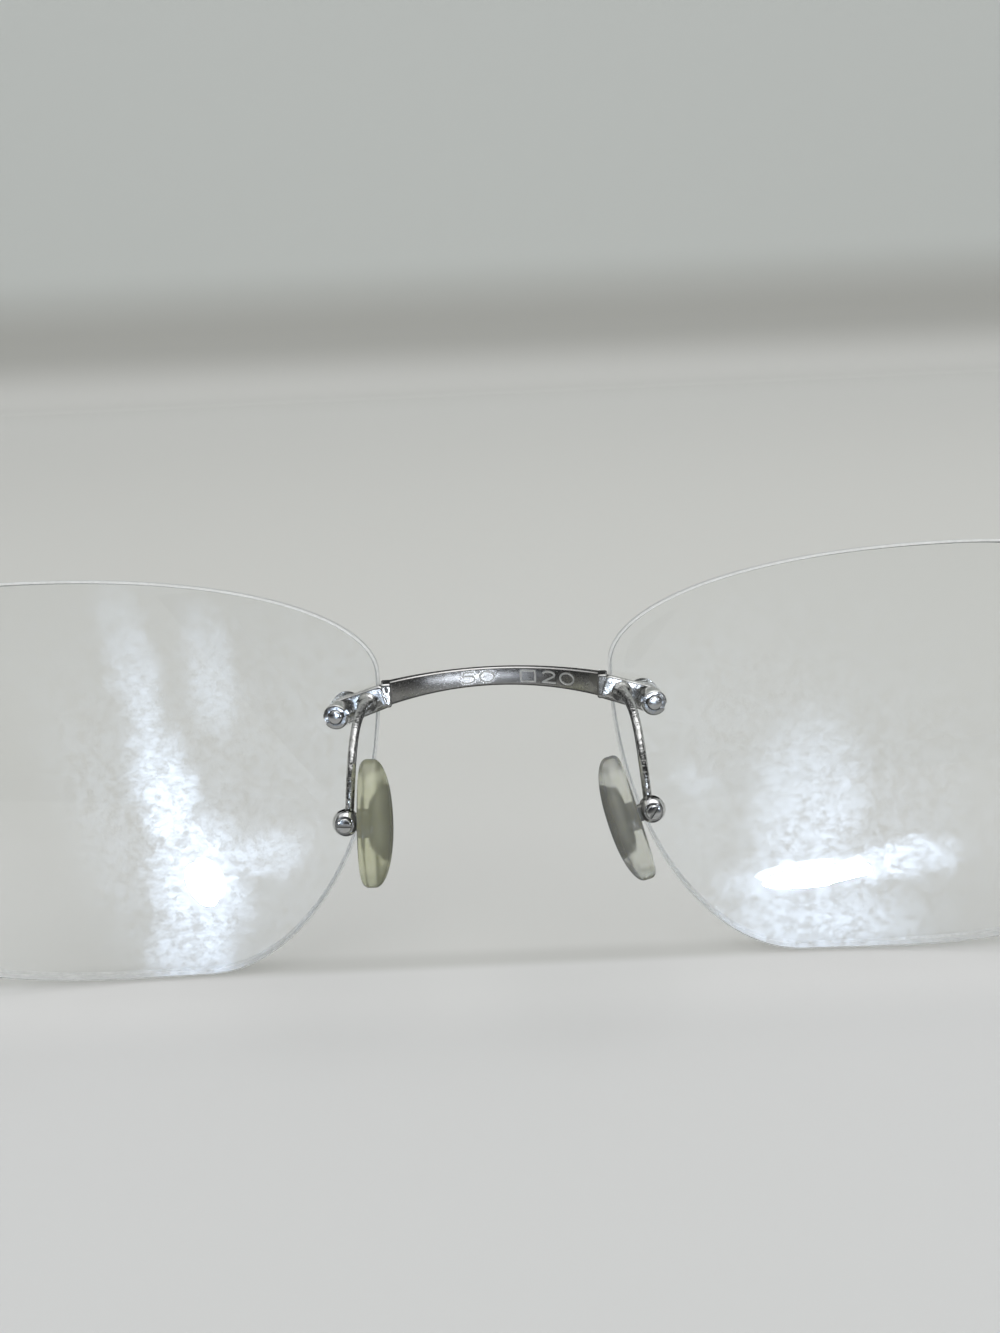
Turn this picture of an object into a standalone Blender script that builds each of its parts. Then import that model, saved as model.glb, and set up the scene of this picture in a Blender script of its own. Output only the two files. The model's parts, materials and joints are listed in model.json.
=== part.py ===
"""Rimless spectacles on a three-piece mount, standing open as they are laid on a table.

Two drilled clear lenses are joined by a bowed bridge strip and carried at their outer edges by
end pieces. Each metal foot lies on the wearer's side of its lens and is held by a screw, a washer,
a plastic bushing and a slotted round nut, and a claw beside the lens edge stops it turning. Pad arms
run back from the bridge feet to ball-shaped pad boxes, where soft nose pads rock on small screws.
Five-knuckle hinges join the end pieces to the temples, which end in plastic tips.

Lengths are in metres. X runs to the wearer's right, Y forward, Z up. Left and right are the wearer's.
"""
import bpy
import bmesh
from math import asin, cos, pi, radians, sin, sqrt
import numpy as np
from mathutils import Matrix, Vector

# Lenses, measured by their boxes
LENS_WIDTH = 0.0500
LENS_HEIGHT = 0.0360
LENS_SPACING = 0.0200
LENS_THICKNESS = 0.0020
LENS_REAR_RADIUS = 0.1060
LENS_EDGE_BEVEL = 0.0002
LENS_FACE_RINGS = (0.50, 0.80)
LENS_WRAP = radians(6.0)
NASAL_PEAK_HEIGHT = 0.0265
TEMPORAL_PEAK_HEIGHT = 0.0235
TOP_PEAK_INSET = 0.0302
BOTTOM_PEAK_INSET = 0.0167
TOP_NASAL_SQUARENESS = 2.08
BOTTOM_NASAL_SQUARENESS = 1.96
TOP_TEMPORAL_SQUARENESS = 2.15
BOTTOM_TEMPORAL_SQUARENESS = 3.0
PANTOSCOPIC_TILT = radians(8.0)

# Fits
SEAT_GAP = 0.00005
RUNNING_GAP = 0.00005
BORE_GAP = 0.00005

# Lens mounts
HOLE_INSET = 0.0033
NASAL_HOLE_DROP = 0.0013
TEMPORAL_HOLE_DROP = 0.0006
CLAW_WIDTH = 0.0009
CLAW_EDGE_GAP = 0.00007
CLAW_HEIGHT = 0.0021
CLAW_FRONT_STEP = 0.0001
FOOT_WIDTH = 0.0023
FOOT_THICKNESS = 0.0008
FOOT_EDGE_BEVEL = 0.0002
FOOT_CORNER = 0.0004
FOOT_END_INSET = 0.0001
MOUNT_SCREW_DIAMETER = 0.0012
MOUNT_SCREW_POINT = 0.0001
MOUNT_HEAD_DIAMETER = 0.0023
MOUNT_HEAD_RIM = 0.0002
MOUNT_HEAD_CROWN = 0.0004
WASHER_DIAMETER = 0.0028
WASHER_THICKNESS = 0.00025
BUSHING_WALL = 0.00022
BUSHING_FLANGE_DIAMETER = 0.0026
BUSHING_FLANGE_THICKNESS = 0.0002
NUT_DIAMETER = 0.0022
NUT_LENGTH = 0.0017
NUT_SLOT_WIDTH = 0.0005
NUT_SLOT_DEPTH = 0.0005
NUT_EDGE_BEVEL = 0.00018

# Bridge strip
BRIDGE_BELOW_PEAK = 0.0017
BRIDGE_BOW = 0.0034
BRIDGE_RISE = 0.0007
BRIDGE_THICKNESS = 0.0010
BRIDGE_END_HEIGHT = 0.0021
BRIDGE_MIDDLE_HEIGHT = 0.0017
BRIDGE_END_DEPTH = 0.0005
STRIP_CORNER = 0.00022
BRIDGE_STATIONS = 23

# Pad arms
ARM_ROOT_DIAMETER = 0.0012
ARM_WIRE_DIAMETER = 0.00074
ARM_ROOT_FROM_EDGE = 0.00085
ARM_TAPER_SHARE = 0.40
ARM_ROOT_LEAD = 0.0052
ARM_END_LEAD = 0.0050
ARM_LANDING = (-0.30, 0.62, 0.72)
ARM_DESCENT = (-0.10, -0.02, 1.00)
ARM_STATIONS = 19

# Pad boxes and their screws
PIVOT_HALF_SPREAD = 0.0122
PIVOT_SETBACK = 0.0090
PIVOT_DROP = 0.0089
BALL_DIAMETER = 0.0022
BOX_FLAT_DISTANCE = 0.00088
BOX_HEAD_FLAT_DISTANCE = 0.00082
PAD_SCREW_DIAMETER = 0.00066
PAD_SCREW_HEAD_DIAMETER = 0.0012
PAD_SCREW_HEAD_HEIGHT = 0.00028
PAD_SCREW_SLOT_WIDTH = 0.00022
PAD_SCREW_SLOT_DEPTH = 0.00014
PAD_SCREW_SLOT_TURN = {"left": radians(4.0), "right": radians(48.0)}

# Nose pads and their cores
PAD_FLARE = radians(8.5)
PAD_ROCK_LIMIT = radians(9.0)
PAD_ROCK_AT_REST = {"left": radians(-7.0), "right": radians(7.0)}
PAD_STANDOFF = 0.0012
PAD_THICKNESS = 0.0025
PAD_LENGTH = 0.0104
PAD_WIDTH = 0.0062
PAD_EGG = 0.12
PAD_DROP = 0.0001
PAD_WALL_START = 0.22
PAD_WALL_END = 0.42
PAD_BACK_DRAW = 0.14
PAD_CROWN_SQUARENESS = 2.3
LUG_THICKNESS = 0.0007
LUG_RADIUS = 0.00066
LUG_END_HALF_HEIGHT = 0.00013
CORE_CORNER_SHARE = 0.6
CORE_BACK_THICKNESS = 0.00035
CORE_BACK_WIDTH = 0.0018
CORE_BACK_LENGTH = 0.0036
CORE_NECK_THICKNESS = 0.00045
CORE_NECK_WIDTH = 0.0010
CORE_NECK_LENGTH = 0.0020
CORE_PLATE_THICKNESS = 0.0011
CORE_PLATE_WIDTH = 0.0036
CORE_PLATE_LENGTH = 0.0058

# End pieces
END_PIECE_REACH = 0.0056
END_PIECE_LENGTH = 0.0120
END_PIECE_THICKNESS = 0.0011
END_PIECE_HINGE_HEIGHT = 0.0032
END_PIECE_START_LEAD = 0.0040
END_PIECE_END_LEAD = 0.0045
END_PIECE_DEPTH = 0.0004
END_PIECE_STATIONS = 15

# Hinges
BARREL_DIAMETER = 0.0020
HINGE_HEIGHT = 0.0034
KNUCKLE_COUNT = 5
KNUCKLE_GAP = 0.00008
KNUCKLE_CLEARANCE = 0.0001
LEAF_THICKNESS = 0.0006
LEAF_LENGTH = 0.0042
HINGE_SCREW_DIAMETER = 0.0010
HINGE_HEAD_DIAMETER = 0.0017
HINGE_HEAD_HEIGHT = 0.0004
HINGE_SLOT_WIDTH = 0.0003
HINGE_SLOT_DEPTH = 0.0002
HINGE_SLOT_TURN = radians(25.0)

# Temples and tips
TEMPLE_LENGTH = 0.1400
TEMPLE_THICKNESS = 0.0011
TEMPLE_REAR_HEIGHT = 0.0024
TEMPLE_BLEND_LENGTH = 0.0080
TEMPLE_CORE_DIAMETER = 0.0013
TEMPLE_CORE_SETBACK = 0.0100
TEMPLE_BEND_START = 0.0920
TEMPLE_BEND_RADIUS = 0.0180
TEMPLE_BEND_ANGLE = radians(45.0)
TEMPLE_CURVE_START = 0.0700
TEMPLE_CURVE_INWARD = 0.0040
TIP_LENGTH = 0.0720
TIP_MOUTH_HEIGHT = 0.0032
TIP_MOUTH_THICKNESS = 0.0028
TIP_END_HEIGHT = 0.0062
TIP_END_THICKNESS = 0.0035
TIP_ROUND_LENGTH = 0.0032
TIP_MOUTH_LEAD = 0.0020

# Facets
OUTLINE_STEPS = 16
SMALL_ROUND = 14
WIRE_ROUND = 10
PAD_ROUND = 24
PAD_BACK_STEPS = 2
PAD_CROWN_STEPS = 6

SIDES = {"left": -1, "right": 1}

METAL = ("polished_metal", (0.70, 0.71, 0.73), 1.0, 0.14)
LENS = ("clear_lens", (0.93, 0.96, 0.96), 0.0, 0.03)
SILICONE = ("aged_silicone", (0.60, 0.60, 0.47), 0.0, 0.35)
NYLON = ("clear_nylon", (0.85, 0.86, 0.84), 0.0, 0.30)
CORE_METAL = ("pad_core_metal", (0.33, 0.33, 0.32), 1.0, 0.35)
TIP_PLASTIC = ("tip_plastic", (0.30, 0.29, 0.27), 0.0, 0.15)


# Scene helpers
def clear_scene():
    """Remove every object that the scene holds."""
    for item in list(bpy.data.objects):
        bpy.data.objects.remove(item, do_unlink=True)


def material(finish):
    """The Principled material of a finish: name, colour, metallic value and roughness."""
    name, colour, metallic, roughness = finish
    found = bpy.data.materials.get(name)
    if found:
        return found
    made = bpy.data.materials.new(name)
    made.use_nodes = True
    shader = made.node_tree.nodes["Principled BSDF"]
    shader.inputs["Base Color"].default_value = (*colour, 1.0)
    shader.inputs["Metallic"].default_value = metallic
    shader.inputs["Roughness"].default_value = roughness
    if finish is LENS:
        shader.inputs["Transmission Weight"].default_value = 1.0
    return made


def empty(name, parent=None, matrix=Matrix.Identity(4)):
    """A frame that pieces hang from."""
    item = bpy.data.objects.new(name, None)
    bpy.context.scene.collection.objects.link(item)
    item.parent = parent
    item.matrix_local = matrix
    return item


def piece(name, mesh, finish, parent, matrix=Matrix.Identity(4), sharp=radians(35.0)):
    """A named solid of the object, in its own material, hung from its frame."""
    mesh.name = name
    item = bpy.data.objects.new(name, mesh)
    bpy.context.scene.collection.objects.link(item)
    item.parent = parent
    item.matrix_local = matrix
    mesh.materials.append(material(finish))
    mesh.shade_smooth()
    mesh.set_sharp_from_angle(angle=sharp)
    return item


def boolean(item, mesh, operation, matrix=None):
    """Join or cut a piece with another shape in the piece's own frame."""
    tool = bpy.data.objects.new(item.name + "_" + operation.lower(), mesh)
    bpy.context.scene.collection.objects.link(tool)
    tool.parent = item.parent
    tool.matrix_local = item.matrix_local @ (matrix or Matrix.Identity(4))
    tool.hide_render = True
    tool.display_type = 'WIRE'
    step = item.modifiers.new(operation.lower(), 'BOOLEAN')
    step.operation = operation
    step.solver = 'EXACT'
    step.object = tool


# Mesh helpers
def closed_mesh(verts, faces):
    """A mesh with merged poles and its faces turned outwards."""
    mesh = bpy.data.meshes.new("solid")
    mesh.from_pydata([tuple(v) for v in verts], [], faces)
    shape = bmesh.new()
    shape.from_mesh(mesh)
    bmesh.ops.remove_doubles(shape, verts=shape.verts, dist=1e-7)
    bmesh.ops.recalc_face_normals(shape, faces=shape.faces)
    shape.to_mesh(mesh)
    shape.free()
    return mesh


def loft(rings, closed=False):
    """Solid through rings of equally many points, capped at both ends or joined end to end."""
    count = len(rings[0])
    verts = np.concatenate(rings)
    faces = []
    spans = len(rings) if closed else len(rings) - 1
    for ring in range(spans):
        start = ring * count
        after = (ring + 1) % len(rings) * count
        for k in range(count):
            n = (k + 1) % count
            faces.append((start + k, start + n, after + n, after + k))
    if not closed:
        faces.append(tuple(range(count)))
        faces.append(tuple(range((len(rings) - 1) * count, len(rings) * count)))
    return closed_mesh(verts, faces)


def circle(radius, height, segments):
    """Ring of points round the Z axis."""
    turn = np.arange(segments) * 2 * pi / segments
    return np.stack([radius * np.cos(turn), radius * np.sin(turn), np.full(segments, height)], axis=1)


def lathe(profile, segments=SMALL_ROUND, closed=False):
    """Solid of revolution round Z through (radius, height) points; a closed profile makes a ring."""
    return loft([circle(radius, height, segments) for radius, height in profile], closed)


def rod(radius, bottom, top, segments=SMALL_ROUND):
    """Plain cylinder on the Z axis."""
    return lathe([(radius, bottom), (radius, top)], segments)


def block(low, high):
    """Box between two corners."""
    corners = ((low[0], low[1]), (high[0], low[1]), (high[0], high[1]), (low[0], high[1]))
    return loft([np.array([(x, y, z) for x, y in corners]) for z in (low[2], high[2])])


def dome(radius, rim, crown, base):
    """Profile points of a low domed head from its rim to its pole, base at the given height."""
    steps = 3
    points = [(radius, base), (radius, base + rim)]
    for step in range(1, steps + 1):
        angle = step / steps * pi / 2
        points.append((radius * cos(angle), base + rim + crown * sin(angle)))
    return points


def rounded_rectangle(half_width, half_height, corner, steps=2):
    """Outline of a rectangle with round corners, counter-clockwise."""
    corner = min(corner, half_width * 0.98, half_height * 0.98)
    points = []
    for quarter, (sx, sy) in enumerate(((1, 1), (-1, 1), (-1, -1), (1, -1))):
        for step in range(steps + 1):
            angle = (quarter + step / steps) * pi / 2
            points.append((sx * (half_width - corner) + corner * cos(angle),
                           sy * (half_height - corner) + corner * sin(angle)))
    return np.array(points)


def sweep(centres, ups, outlines):
    """Solid along a path: each outline lies across the path, its second axis along the up vector."""
    tangents = np.gradient(centres, axis=0)
    tangents /= np.linalg.norm(tangents, axis=1)[:, None]
    across = np.cross(tangents, ups)
    across /= np.linalg.norm(across, axis=1)[:, None]
    upward = np.cross(across, tangents)
    rings = [c + o[:, :1] * a + o[:, 1:] * u for c, a, u, o in zip(centres, across, upward, outlines)]
    return loft(rings)


def bezier(start, start_handle, end_handle, end, count):
    """Points of a cubic curve."""
    t = np.linspace(0.0, 1.0, count)[:, None]
    terms = ((1 - t) ** 3, 3 * t * (1 - t) ** 2, 3 * t ** 2 * (1 - t), t ** 3)
    return sum(term * np.array(point) for term, point in zip(terms, (start, start_handle, end_handle, end)))


def mirrored(mesh, side):
    """Turn a right-hand mesh into the left-hand one; the right-hand one stays as it is."""
    if side < 0:
        mesh.transform(Matrix.Diagonal((-1.0, 1.0, 1.0, 1.0)))
        mesh.flip_normals()
    return mesh


# Frames. The lens frame starts at the nasal edge and the bottom of the lens box: U runs outward,
# Y forward and V up. It is written for the right lens and mirrored for the left one.
LENS_CENTRE_DEPTH = -sqrt(LENS_REAR_RADIUS ** 2 - (LENS_WIDTH / 2) ** 2)
BRIDGE_HEIGHT = NASAL_PEAK_HEIGHT - BRIDGE_BELOW_PEAK
NASAL_HOLE = (HOLE_INSET, BRIDGE_HEIGHT - NASAL_HOLE_DROP)
TEMPORAL_HOLE = (LENS_WIDTH - HOLE_INSET, TEMPORAL_PEAK_HEIGHT - TEMPORAL_HOLE_DROP)
CLAW_MIDDLE = CLAW_EDGE_GAP + CLAW_WIDTH / 2
NASAL_CLAW = (-CLAW_MIDDLE, BRIDGE_HEIGHT)
TEMPORAL_CLAW = (LENS_WIDTH + CLAW_MIDDLE, TEMPORAL_PEAK_HEIGHT)
MOUNTS = {"nasal": (NASAL_HOLE, NASAL_CLAW), "temporal": (TEMPORAL_HOLE, TEMPORAL_CLAW)}

# Heights along a mount's axis, from the rear face of the lens
FLANGE_FRONT = -SEAT_GAP
FLANGE_REAR = FLANGE_FRONT - BUSHING_FLANGE_THICKNESS
FOOT_FRONT = FLANGE_REAR - SEAT_GAP
FOOT_REAR = FOOT_FRONT - FOOT_THICKNESS
NUT_FRONT = FOOT_REAR - SEAT_GAP
NUT_REAR = NUT_FRONT - NUT_LENGTH
SCREW_POINT = NUT_REAR - MOUNT_SCREW_POINT
WASHER_REAR = LENS_THICKNESS + SEAT_GAP
WASHER_FRONT = WASHER_REAR + WASHER_THICKNESS
HEAD_REAR = WASHER_FRONT + SEAT_GAP
SCREW_RADIUS = MOUNT_SCREW_DIAMETER / 2
SCREW_BORE_RADIUS = SCREW_RADIUS + BORE_GAP
BUSHING_RADIUS = SCREW_BORE_RADIUS + BUSHING_WALL
LENS_HOLE_RADIUS = BUSHING_RADIUS + BORE_GAP


def sphere_depth(u, v, radius):
    """Y of a lens face at (u, v), for a sphere about the common centre."""
    return np.sqrt(radius ** 2 - (u - LENS_WIDTH / 2) ** 2 - (v - LENS_HEIGHT / 2) ** 2) + LENS_CENTRE_DEPTH


def mount_axes(hole, claw):
    """Point on the rear face at a hole, its forward normal, and the directions to the claw and across."""
    u, v = hole
    point = np.array([u, sphere_depth(u, v, LENS_REAR_RADIUS), v])
    centre = np.array([LENS_WIDTH / 2, LENS_CENTRE_DEPTH, LENS_HEIGHT / 2])
    normal = (point - centre) / LENS_REAR_RADIUS
    toward = np.array([claw[0] - u, 0.0, claw[1] - v])
    toward -= normal * (toward @ normal)
    reach = np.linalg.norm(toward)
    toward /= reach
    return point, normal, toward, np.cross(normal, toward), reach


def mount_matrix(hole, claw, side):
    """Frame of a mount's screw: Z forward through the lens, X towards the claw."""
    point, normal, toward, _, _ = mount_axes(hole, claw)
    flip = np.array([side, 1.0, 1.0])
    point, normal, toward = point * flip, normal * flip, toward * flip
    across = np.cross(normal, toward)
    frame = Matrix.Identity(4)
    for row in range(3):
        frame[row] = (toward[row], across[row], normal[row], point[row])
    return frame


FRONT_TILT = Matrix.Rotation(-PANTOSCOPIC_TILT, 4, 'X')


def lens_frame(side):
    """Lens frame within the tilted front."""
    return Matrix.Translation((side * LENS_SPACING / 2, 0, 0)) @ Matrix.Rotation(-side * LENS_WRAP, 4, 'Z')


def front_matrix():
    """Front within the wearing frame, whose origin is midway between the hinges at temple height.

    The outer claw is level with the hinges and one end-piece length in front of them.
    """
    claw = FRONT_TILT @ lens_frame(1) @ Vector((TEMPORAL_CLAW[0], 0, TEMPORAL_CLAW[1]))
    return Matrix.Translation((0, END_PIECE_LENGTH - claw.y, -claw.z)) @ FRONT_TILT


FRONT = front_matrix()
OUTER_CLAW = FRONT @ lens_frame(1) @ Vector((TEMPORAL_CLAW[0], END_PIECE_DEPTH, TEMPORAL_CLAW[1]))
HINGE_HALF_SPREAD = OUTER_CLAW.x + END_PIECE_REACH
BARREL_RADIUS = BARREL_DIAMETER / 2
STRIP_INNER = BARREL_RADIUS + SEAT_GAP
BALL_RADIUS = BALL_DIAMETER / 2
PAD_PIVOT = Vector((PIVOT_HALF_SPREAD, -PIVOT_SETBACK, BRIDGE_HEIGHT - PIVOT_DROP))

# Distances along a temple, from the hinge
TIP_MOUTH = TEMPLE_LENGTH - TIP_LENGTH
TEMPLE_FLAT_LENGTH = TIP_MOUTH - TIP_MOUTH_LEAD - TEMPLE_BLEND_LENGTH


# Lens
def lens_outline():
    """Closed outline in (u, v): four superellipse quarters between the box's four touching points."""
    quarters = (
        (LENS_WIDTH - TOP_PEAK_INSET, LENS_HEIGHT - TEMPORAL_PEAK_HEIGHT, TOP_PEAK_INSET,
         TEMPORAL_PEAK_HEIGHT, TOP_TEMPORAL_SQUARENESS),
        (-TOP_PEAK_INSET, LENS_HEIGHT - NASAL_PEAK_HEIGHT, TOP_PEAK_INSET,
         NASAL_PEAK_HEIGHT, TOP_NASAL_SQUARENESS),
        (-BOTTOM_PEAK_INSET, -NASAL_PEAK_HEIGHT, BOTTOM_PEAK_INSET,
         NASAL_PEAK_HEIGHT, BOTTOM_NASAL_SQUARENESS),
        (LENS_WIDTH - BOTTOM_PEAK_INSET, -TEMPORAL_PEAK_HEIGHT, BOTTOM_PEAK_INSET,
         TEMPORAL_PEAK_HEIGHT, BOTTOM_TEMPORAL_SQUARENESS))
    points = []
    for index, (reach, rise, middle, level, squareness) in enumerate(quarters):
        turn = np.arange(OUTLINE_STEPS) / OUTLINE_STEPS * pi / 2
        if index % 2:
            turn = pi / 2 - turn
        points.append(np.stack([middle + reach * np.cos(turn) ** (2 / squareness),
                                level + rise * np.sin(turn) ** (2 / squareness)], axis=1))
    return np.concatenate(points)


def lens_rings():
    """Rings from the middle of the rear face round the edge to the middle of the front face."""
    outline = lens_outline()
    middle = np.array([LENS_WIDTH / 2, LENS_HEIGHT / 2])
    span = outline - middle
    distance = np.linalg.norm(span, axis=1)[:, None]
    inner = middle + span * (1 - LENS_EDGE_BEVEL / distance)
    flats = [middle + span * share for share in LENS_FACE_RINGS] + [inner]
    pole = np.repeat(middle[None], len(outline), axis=0)
    front_radius = LENS_REAR_RADIUS + LENS_THICKNESS

    def placed(flat, radius, shift=0.0):
        u, v = flat.T
        return np.stack([u, sphere_depth(u, v, radius) + shift, v], axis=1)

    rear = [placed(flat, LENS_REAR_RADIUS) for flat in [pole] + flats]
    front = [placed(flat, front_radius) for flat in reversed([pole] + flats)]
    edge = [placed(outline, LENS_REAR_RADIUS, LENS_EDGE_BEVEL),
            placed(outline, front_radius, -LENS_EDGE_BEVEL)]
    return rear + edge + front


def make_lens(name, frame, side):
    """Drilled lens: two faces of one centre, a bevelled edge and two holes square to the faces."""
    lens = piece(name, mirrored(loft(lens_rings()), side), LENS, frame)
    for hole, claw in MOUNTS.values():
        drill = rod(LENS_HOLE_RADIUS, -LENS_THICKNESS, 2 * LENS_THICKNESS, 16)
        boolean(lens, drill, 'DIFFERENCE', mount_matrix(hole, claw, side))


# Lens mounts
def foot_outline(reach, inset):
    """Foot seen along the screw: round about the hole, then narrowing to a square end inside the claw."""
    end = reach + CLAW_WIDTH / 2 - FOOT_END_INSET - inset
    corner = FOOT_CORNER - inset
    radius = FOOT_WIDTH / 2 - inset
    points = []
    for step in range(10):
        angle = (0.5 + step / 9) * pi
        points.append((radius * cos(angle), radius * sin(angle)))
    for up, start in ((-1, -pi / 2), (1, 0.0)):
        middle = up * (CLAW_HEIGHT / 2 - FOOT_CORNER)
        for step in range(3):
            angle = start + step / 2 * pi / 2
            points.append((end - corner + corner * cos(angle), middle + corner * sin(angle)))
    return np.array(points)


def foot_mesh(hole, claw):
    """Flat foot from the hole to the claw, bevelled on the wearer's side."""
    point, normal, toward, across, reach = mount_axes(hole, claw)
    rings = []
    for inset, depth in ((0.0, FOOT_FRONT), (0.0, FOOT_REAR + FOOT_EDGE_BEVEL), (FOOT_EDGE_BEVEL, FOOT_REAR)):
        flat = foot_outline(reach, inset)
        rings.append(point + normal * depth + flat[:, :1] * toward + flat[:, 1:] * across)
    return loft(rings)


def claw_mesh(hole, claw):
    """Claw that stands beside the lens edge, from behind the foot to just short of the front face."""
    point, normal, toward, _, reach = mount_axes(hole, claw)
    rear = (point + normal * FOOT_REAR + toward * reach)[1]
    front = sphere_depth(*claw, LENS_REAR_RADIUS + LENS_THICKNESS) - CLAW_FRONT_STEP
    rings = []
    for depth, inset in ((rear, FOOT_EDGE_BEVEL), (rear + FOOT_EDGE_BEVEL, 0.0),
                         (front - FOOT_EDGE_BEVEL, 0.0), (front, FOOT_EDGE_BEVEL)):
        flat = rounded_rectangle(CLAW_WIDTH / 2 - inset, CLAW_HEIGHT / 2 - inset, STRIP_CORNER)
        u, v = (flat + claw).T
        rings.append(np.stack([u, np.full(len(flat), depth), v], axis=1))
    return loft(rings)


def add_foot(item, hole, claw, side, lens_to_item):
    """Join a foot and a claw to a strip, and drill the foot for the mount's screw."""
    boolean(item, mirrored(foot_mesh(hole, claw), side), 'UNION', lens_to_item)
    boolean(item, mirrored(claw_mesh(hole, claw), side), 'UNION', lens_to_item)
    drill = rod(SCREW_BORE_RADIUS, FOOT_REAR - FOOT_THICKNESS, FOOT_FRONT + BUSHING_FLANGE_THICKNESS)
    boolean(item, drill, 'DIFFERENCE', lens_to_item @ mount_matrix(hole, claw, side))


def make_mount(tag, frame):
    """Screw with a domed head in front, washer, flanged bushing, and slotted round nut behind."""
    screw = [(0.0, SCREW_POINT), (SCREW_RADIUS - MOUNT_SCREW_POINT, SCREW_POINT),
             (SCREW_RADIUS, SCREW_POINT + MOUNT_SCREW_POINT), (SCREW_RADIUS, HEAD_REAR)]
    screw += dome(MOUNT_HEAD_DIAMETER / 2, MOUNT_HEAD_RIM, MOUNT_HEAD_CROWN, HEAD_REAR)
    piece("mount_screw_" + tag, lathe(screw), METAL, frame)
    outer = WASHER_DIAMETER / 2
    washer = [(SCREW_BORE_RADIUS, WASHER_REAR), (outer, WASHER_REAR), (outer, WASHER_FRONT),
              (SCREW_BORE_RADIUS, WASHER_FRONT)]
    piece("washer_" + tag, lathe(washer, closed=True), METAL, frame)
    flange = BUSHING_FLANGE_DIAMETER / 2
    bushing = [(SCREW_BORE_RADIUS, FLANGE_REAR), (flange, FLANGE_REAR), (flange, FLANGE_FRONT),
               (BUSHING_RADIUS, FLANGE_FRONT), (BUSHING_RADIUS, LENS_THICKNESS),
               (SCREW_BORE_RADIUS, LENS_THICKNESS)]
    piece("bushing_" + tag, lathe(bushing, closed=True), NYLON, frame)
    rim = NUT_DIAMETER / 2
    nut = [(SCREW_BORE_RADIUS, NUT_FRONT), (rim, NUT_FRONT), (rim, NUT_REAR + NUT_EDGE_BEVEL),
           (rim - NUT_EDGE_BEVEL, NUT_REAR), (SCREW_BORE_RADIUS, NUT_REAR)]
    made = piece("nut_" + tag, lathe(nut, 16, closed=True), METAL, frame)
    slot = block((-NUT_DIAMETER, -NUT_SLOT_WIDTH / 2, NUT_REAR - NUT_SLOT_DEPTH),
                 (NUT_DIAMETER, NUT_SLOT_WIDTH / 2, NUT_REAR + NUT_SLOT_DEPTH))
    boolean(made, slot, 'DIFFERENCE')


# Bridge
def strip_outline(thickness, height):
    """Cross-section of a flat metal strip: thickness first, height second."""
    return rounded_rectangle(thickness / 2, height / 2, STRIP_CORNER)


def bridge_mesh():
    """Bowed strip between the claws: a circular arc in plan, arched a little in height."""
    half = LENS_SPACING / 2 - CLAW_MIDDLE
    x = np.linspace(-half, half, BRIDGE_STATIONS)
    share = (x / half) ** 2
    radius = (half ** 2 + BRIDGE_BOW ** 2) / (2 * BRIDGE_BOW)
    y = BRIDGE_END_DEPTH + BRIDGE_BOW - radius + np.sqrt(radius ** 2 - x ** 2)
    z = BRIDGE_HEIGHT + BRIDGE_RISE * (1 - share)
    heights = BRIDGE_MIDDLE_HEIGHT + (BRIDGE_END_HEIGHT - BRIDGE_MIDDLE_HEIGHT) * share
    ups = np.tile((0.0, 0.0, 1.0), (len(x), 1))
    return sweep(np.stack([x, y, z], axis=1), ups, [strip_outline(BRIDGE_THICKNESS, h) for h in heights])


def make_bridge(front):
    """Bridge strip with a foot and a claw at each end."""
    bridge = piece("bridge", bridge_mesh(), METAL, front)
    for side in SIDES.values():
        add_foot(bridge, NASAL_HOLE, NASAL_CLAW, side, lens_frame(side))


# Pad arms, boxes and pads
def arm_path():
    """Wire's centre line in the front's frame, from the foot back, down and in to the ball."""
    point, normal, toward, across, reach = mount_axes(NASAL_HOLE, NASAL_CLAW)
    root = point + toward * (reach - CLAW_MIDDLE - ARM_ROOT_FROM_EDGE) + normal * (FOOT_REAR - SEAT_GAP)
    to_front = lens_frame(1)
    start = np.array(to_front @ Vector(root))
    back = -np.array(to_front.to_3x3() @ Vector(normal))
    end = np.array(PAD_PIVOT + Vector(ARM_LANDING).normalized() * (BALL_RADIUS - ARM_WIRE_DIAMETER / 2))
    above = np.array(Vector(ARM_DESCENT).normalized())
    return bezier(start, start + back * ARM_ROOT_LEAD, end + above * ARM_END_LEAD, end, ARM_STATIONS)


def arm_mesh():
    """Round wire, thick where it is soldered to the foot and thin beyond the first bend."""
    path = arm_path()
    share = np.clip(1 - np.linspace(0.0, 1.0, len(path)) / ARM_TAPER_SHARE, 0.0, 1.0) ** 2
    radii = (ARM_WIRE_DIAMETER + (ARM_ROOT_DIAMETER - ARM_WIRE_DIAMETER) * share) / 2
    ups = np.tile((1.0, 0.0, 0.0), (len(path), 1))
    return sweep(path, ups, [circle(radius, 0.0, WIRE_ROUND)[:, :2] for radius in radii])


def ball_mesh(radius, rows=10):
    """Ball whose poles lie on the Z axis."""
    angles = np.linspace(-pi / 2, pi / 2, rows + 1)
    return lathe([(abs(radius * cos(a)), radius * sin(a)) for a in angles], 16)


def make_pad_arm(name, front, side):
    """Pad arm, its end hollowed to sit on the ball."""
    arm = piece(name, mirrored(arm_mesh(), side), METAL, front, sharp=radians(50.0))
    pivot = Vector((side * PAD_PIVOT.x, PAD_PIVOT.y, PAD_PIVOT.z))
    boolean(arm, ball_mesh(BALL_RADIUS + SEAT_GAP), 'DIFFERENCE', Matrix.Translation(pivot))


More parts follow.
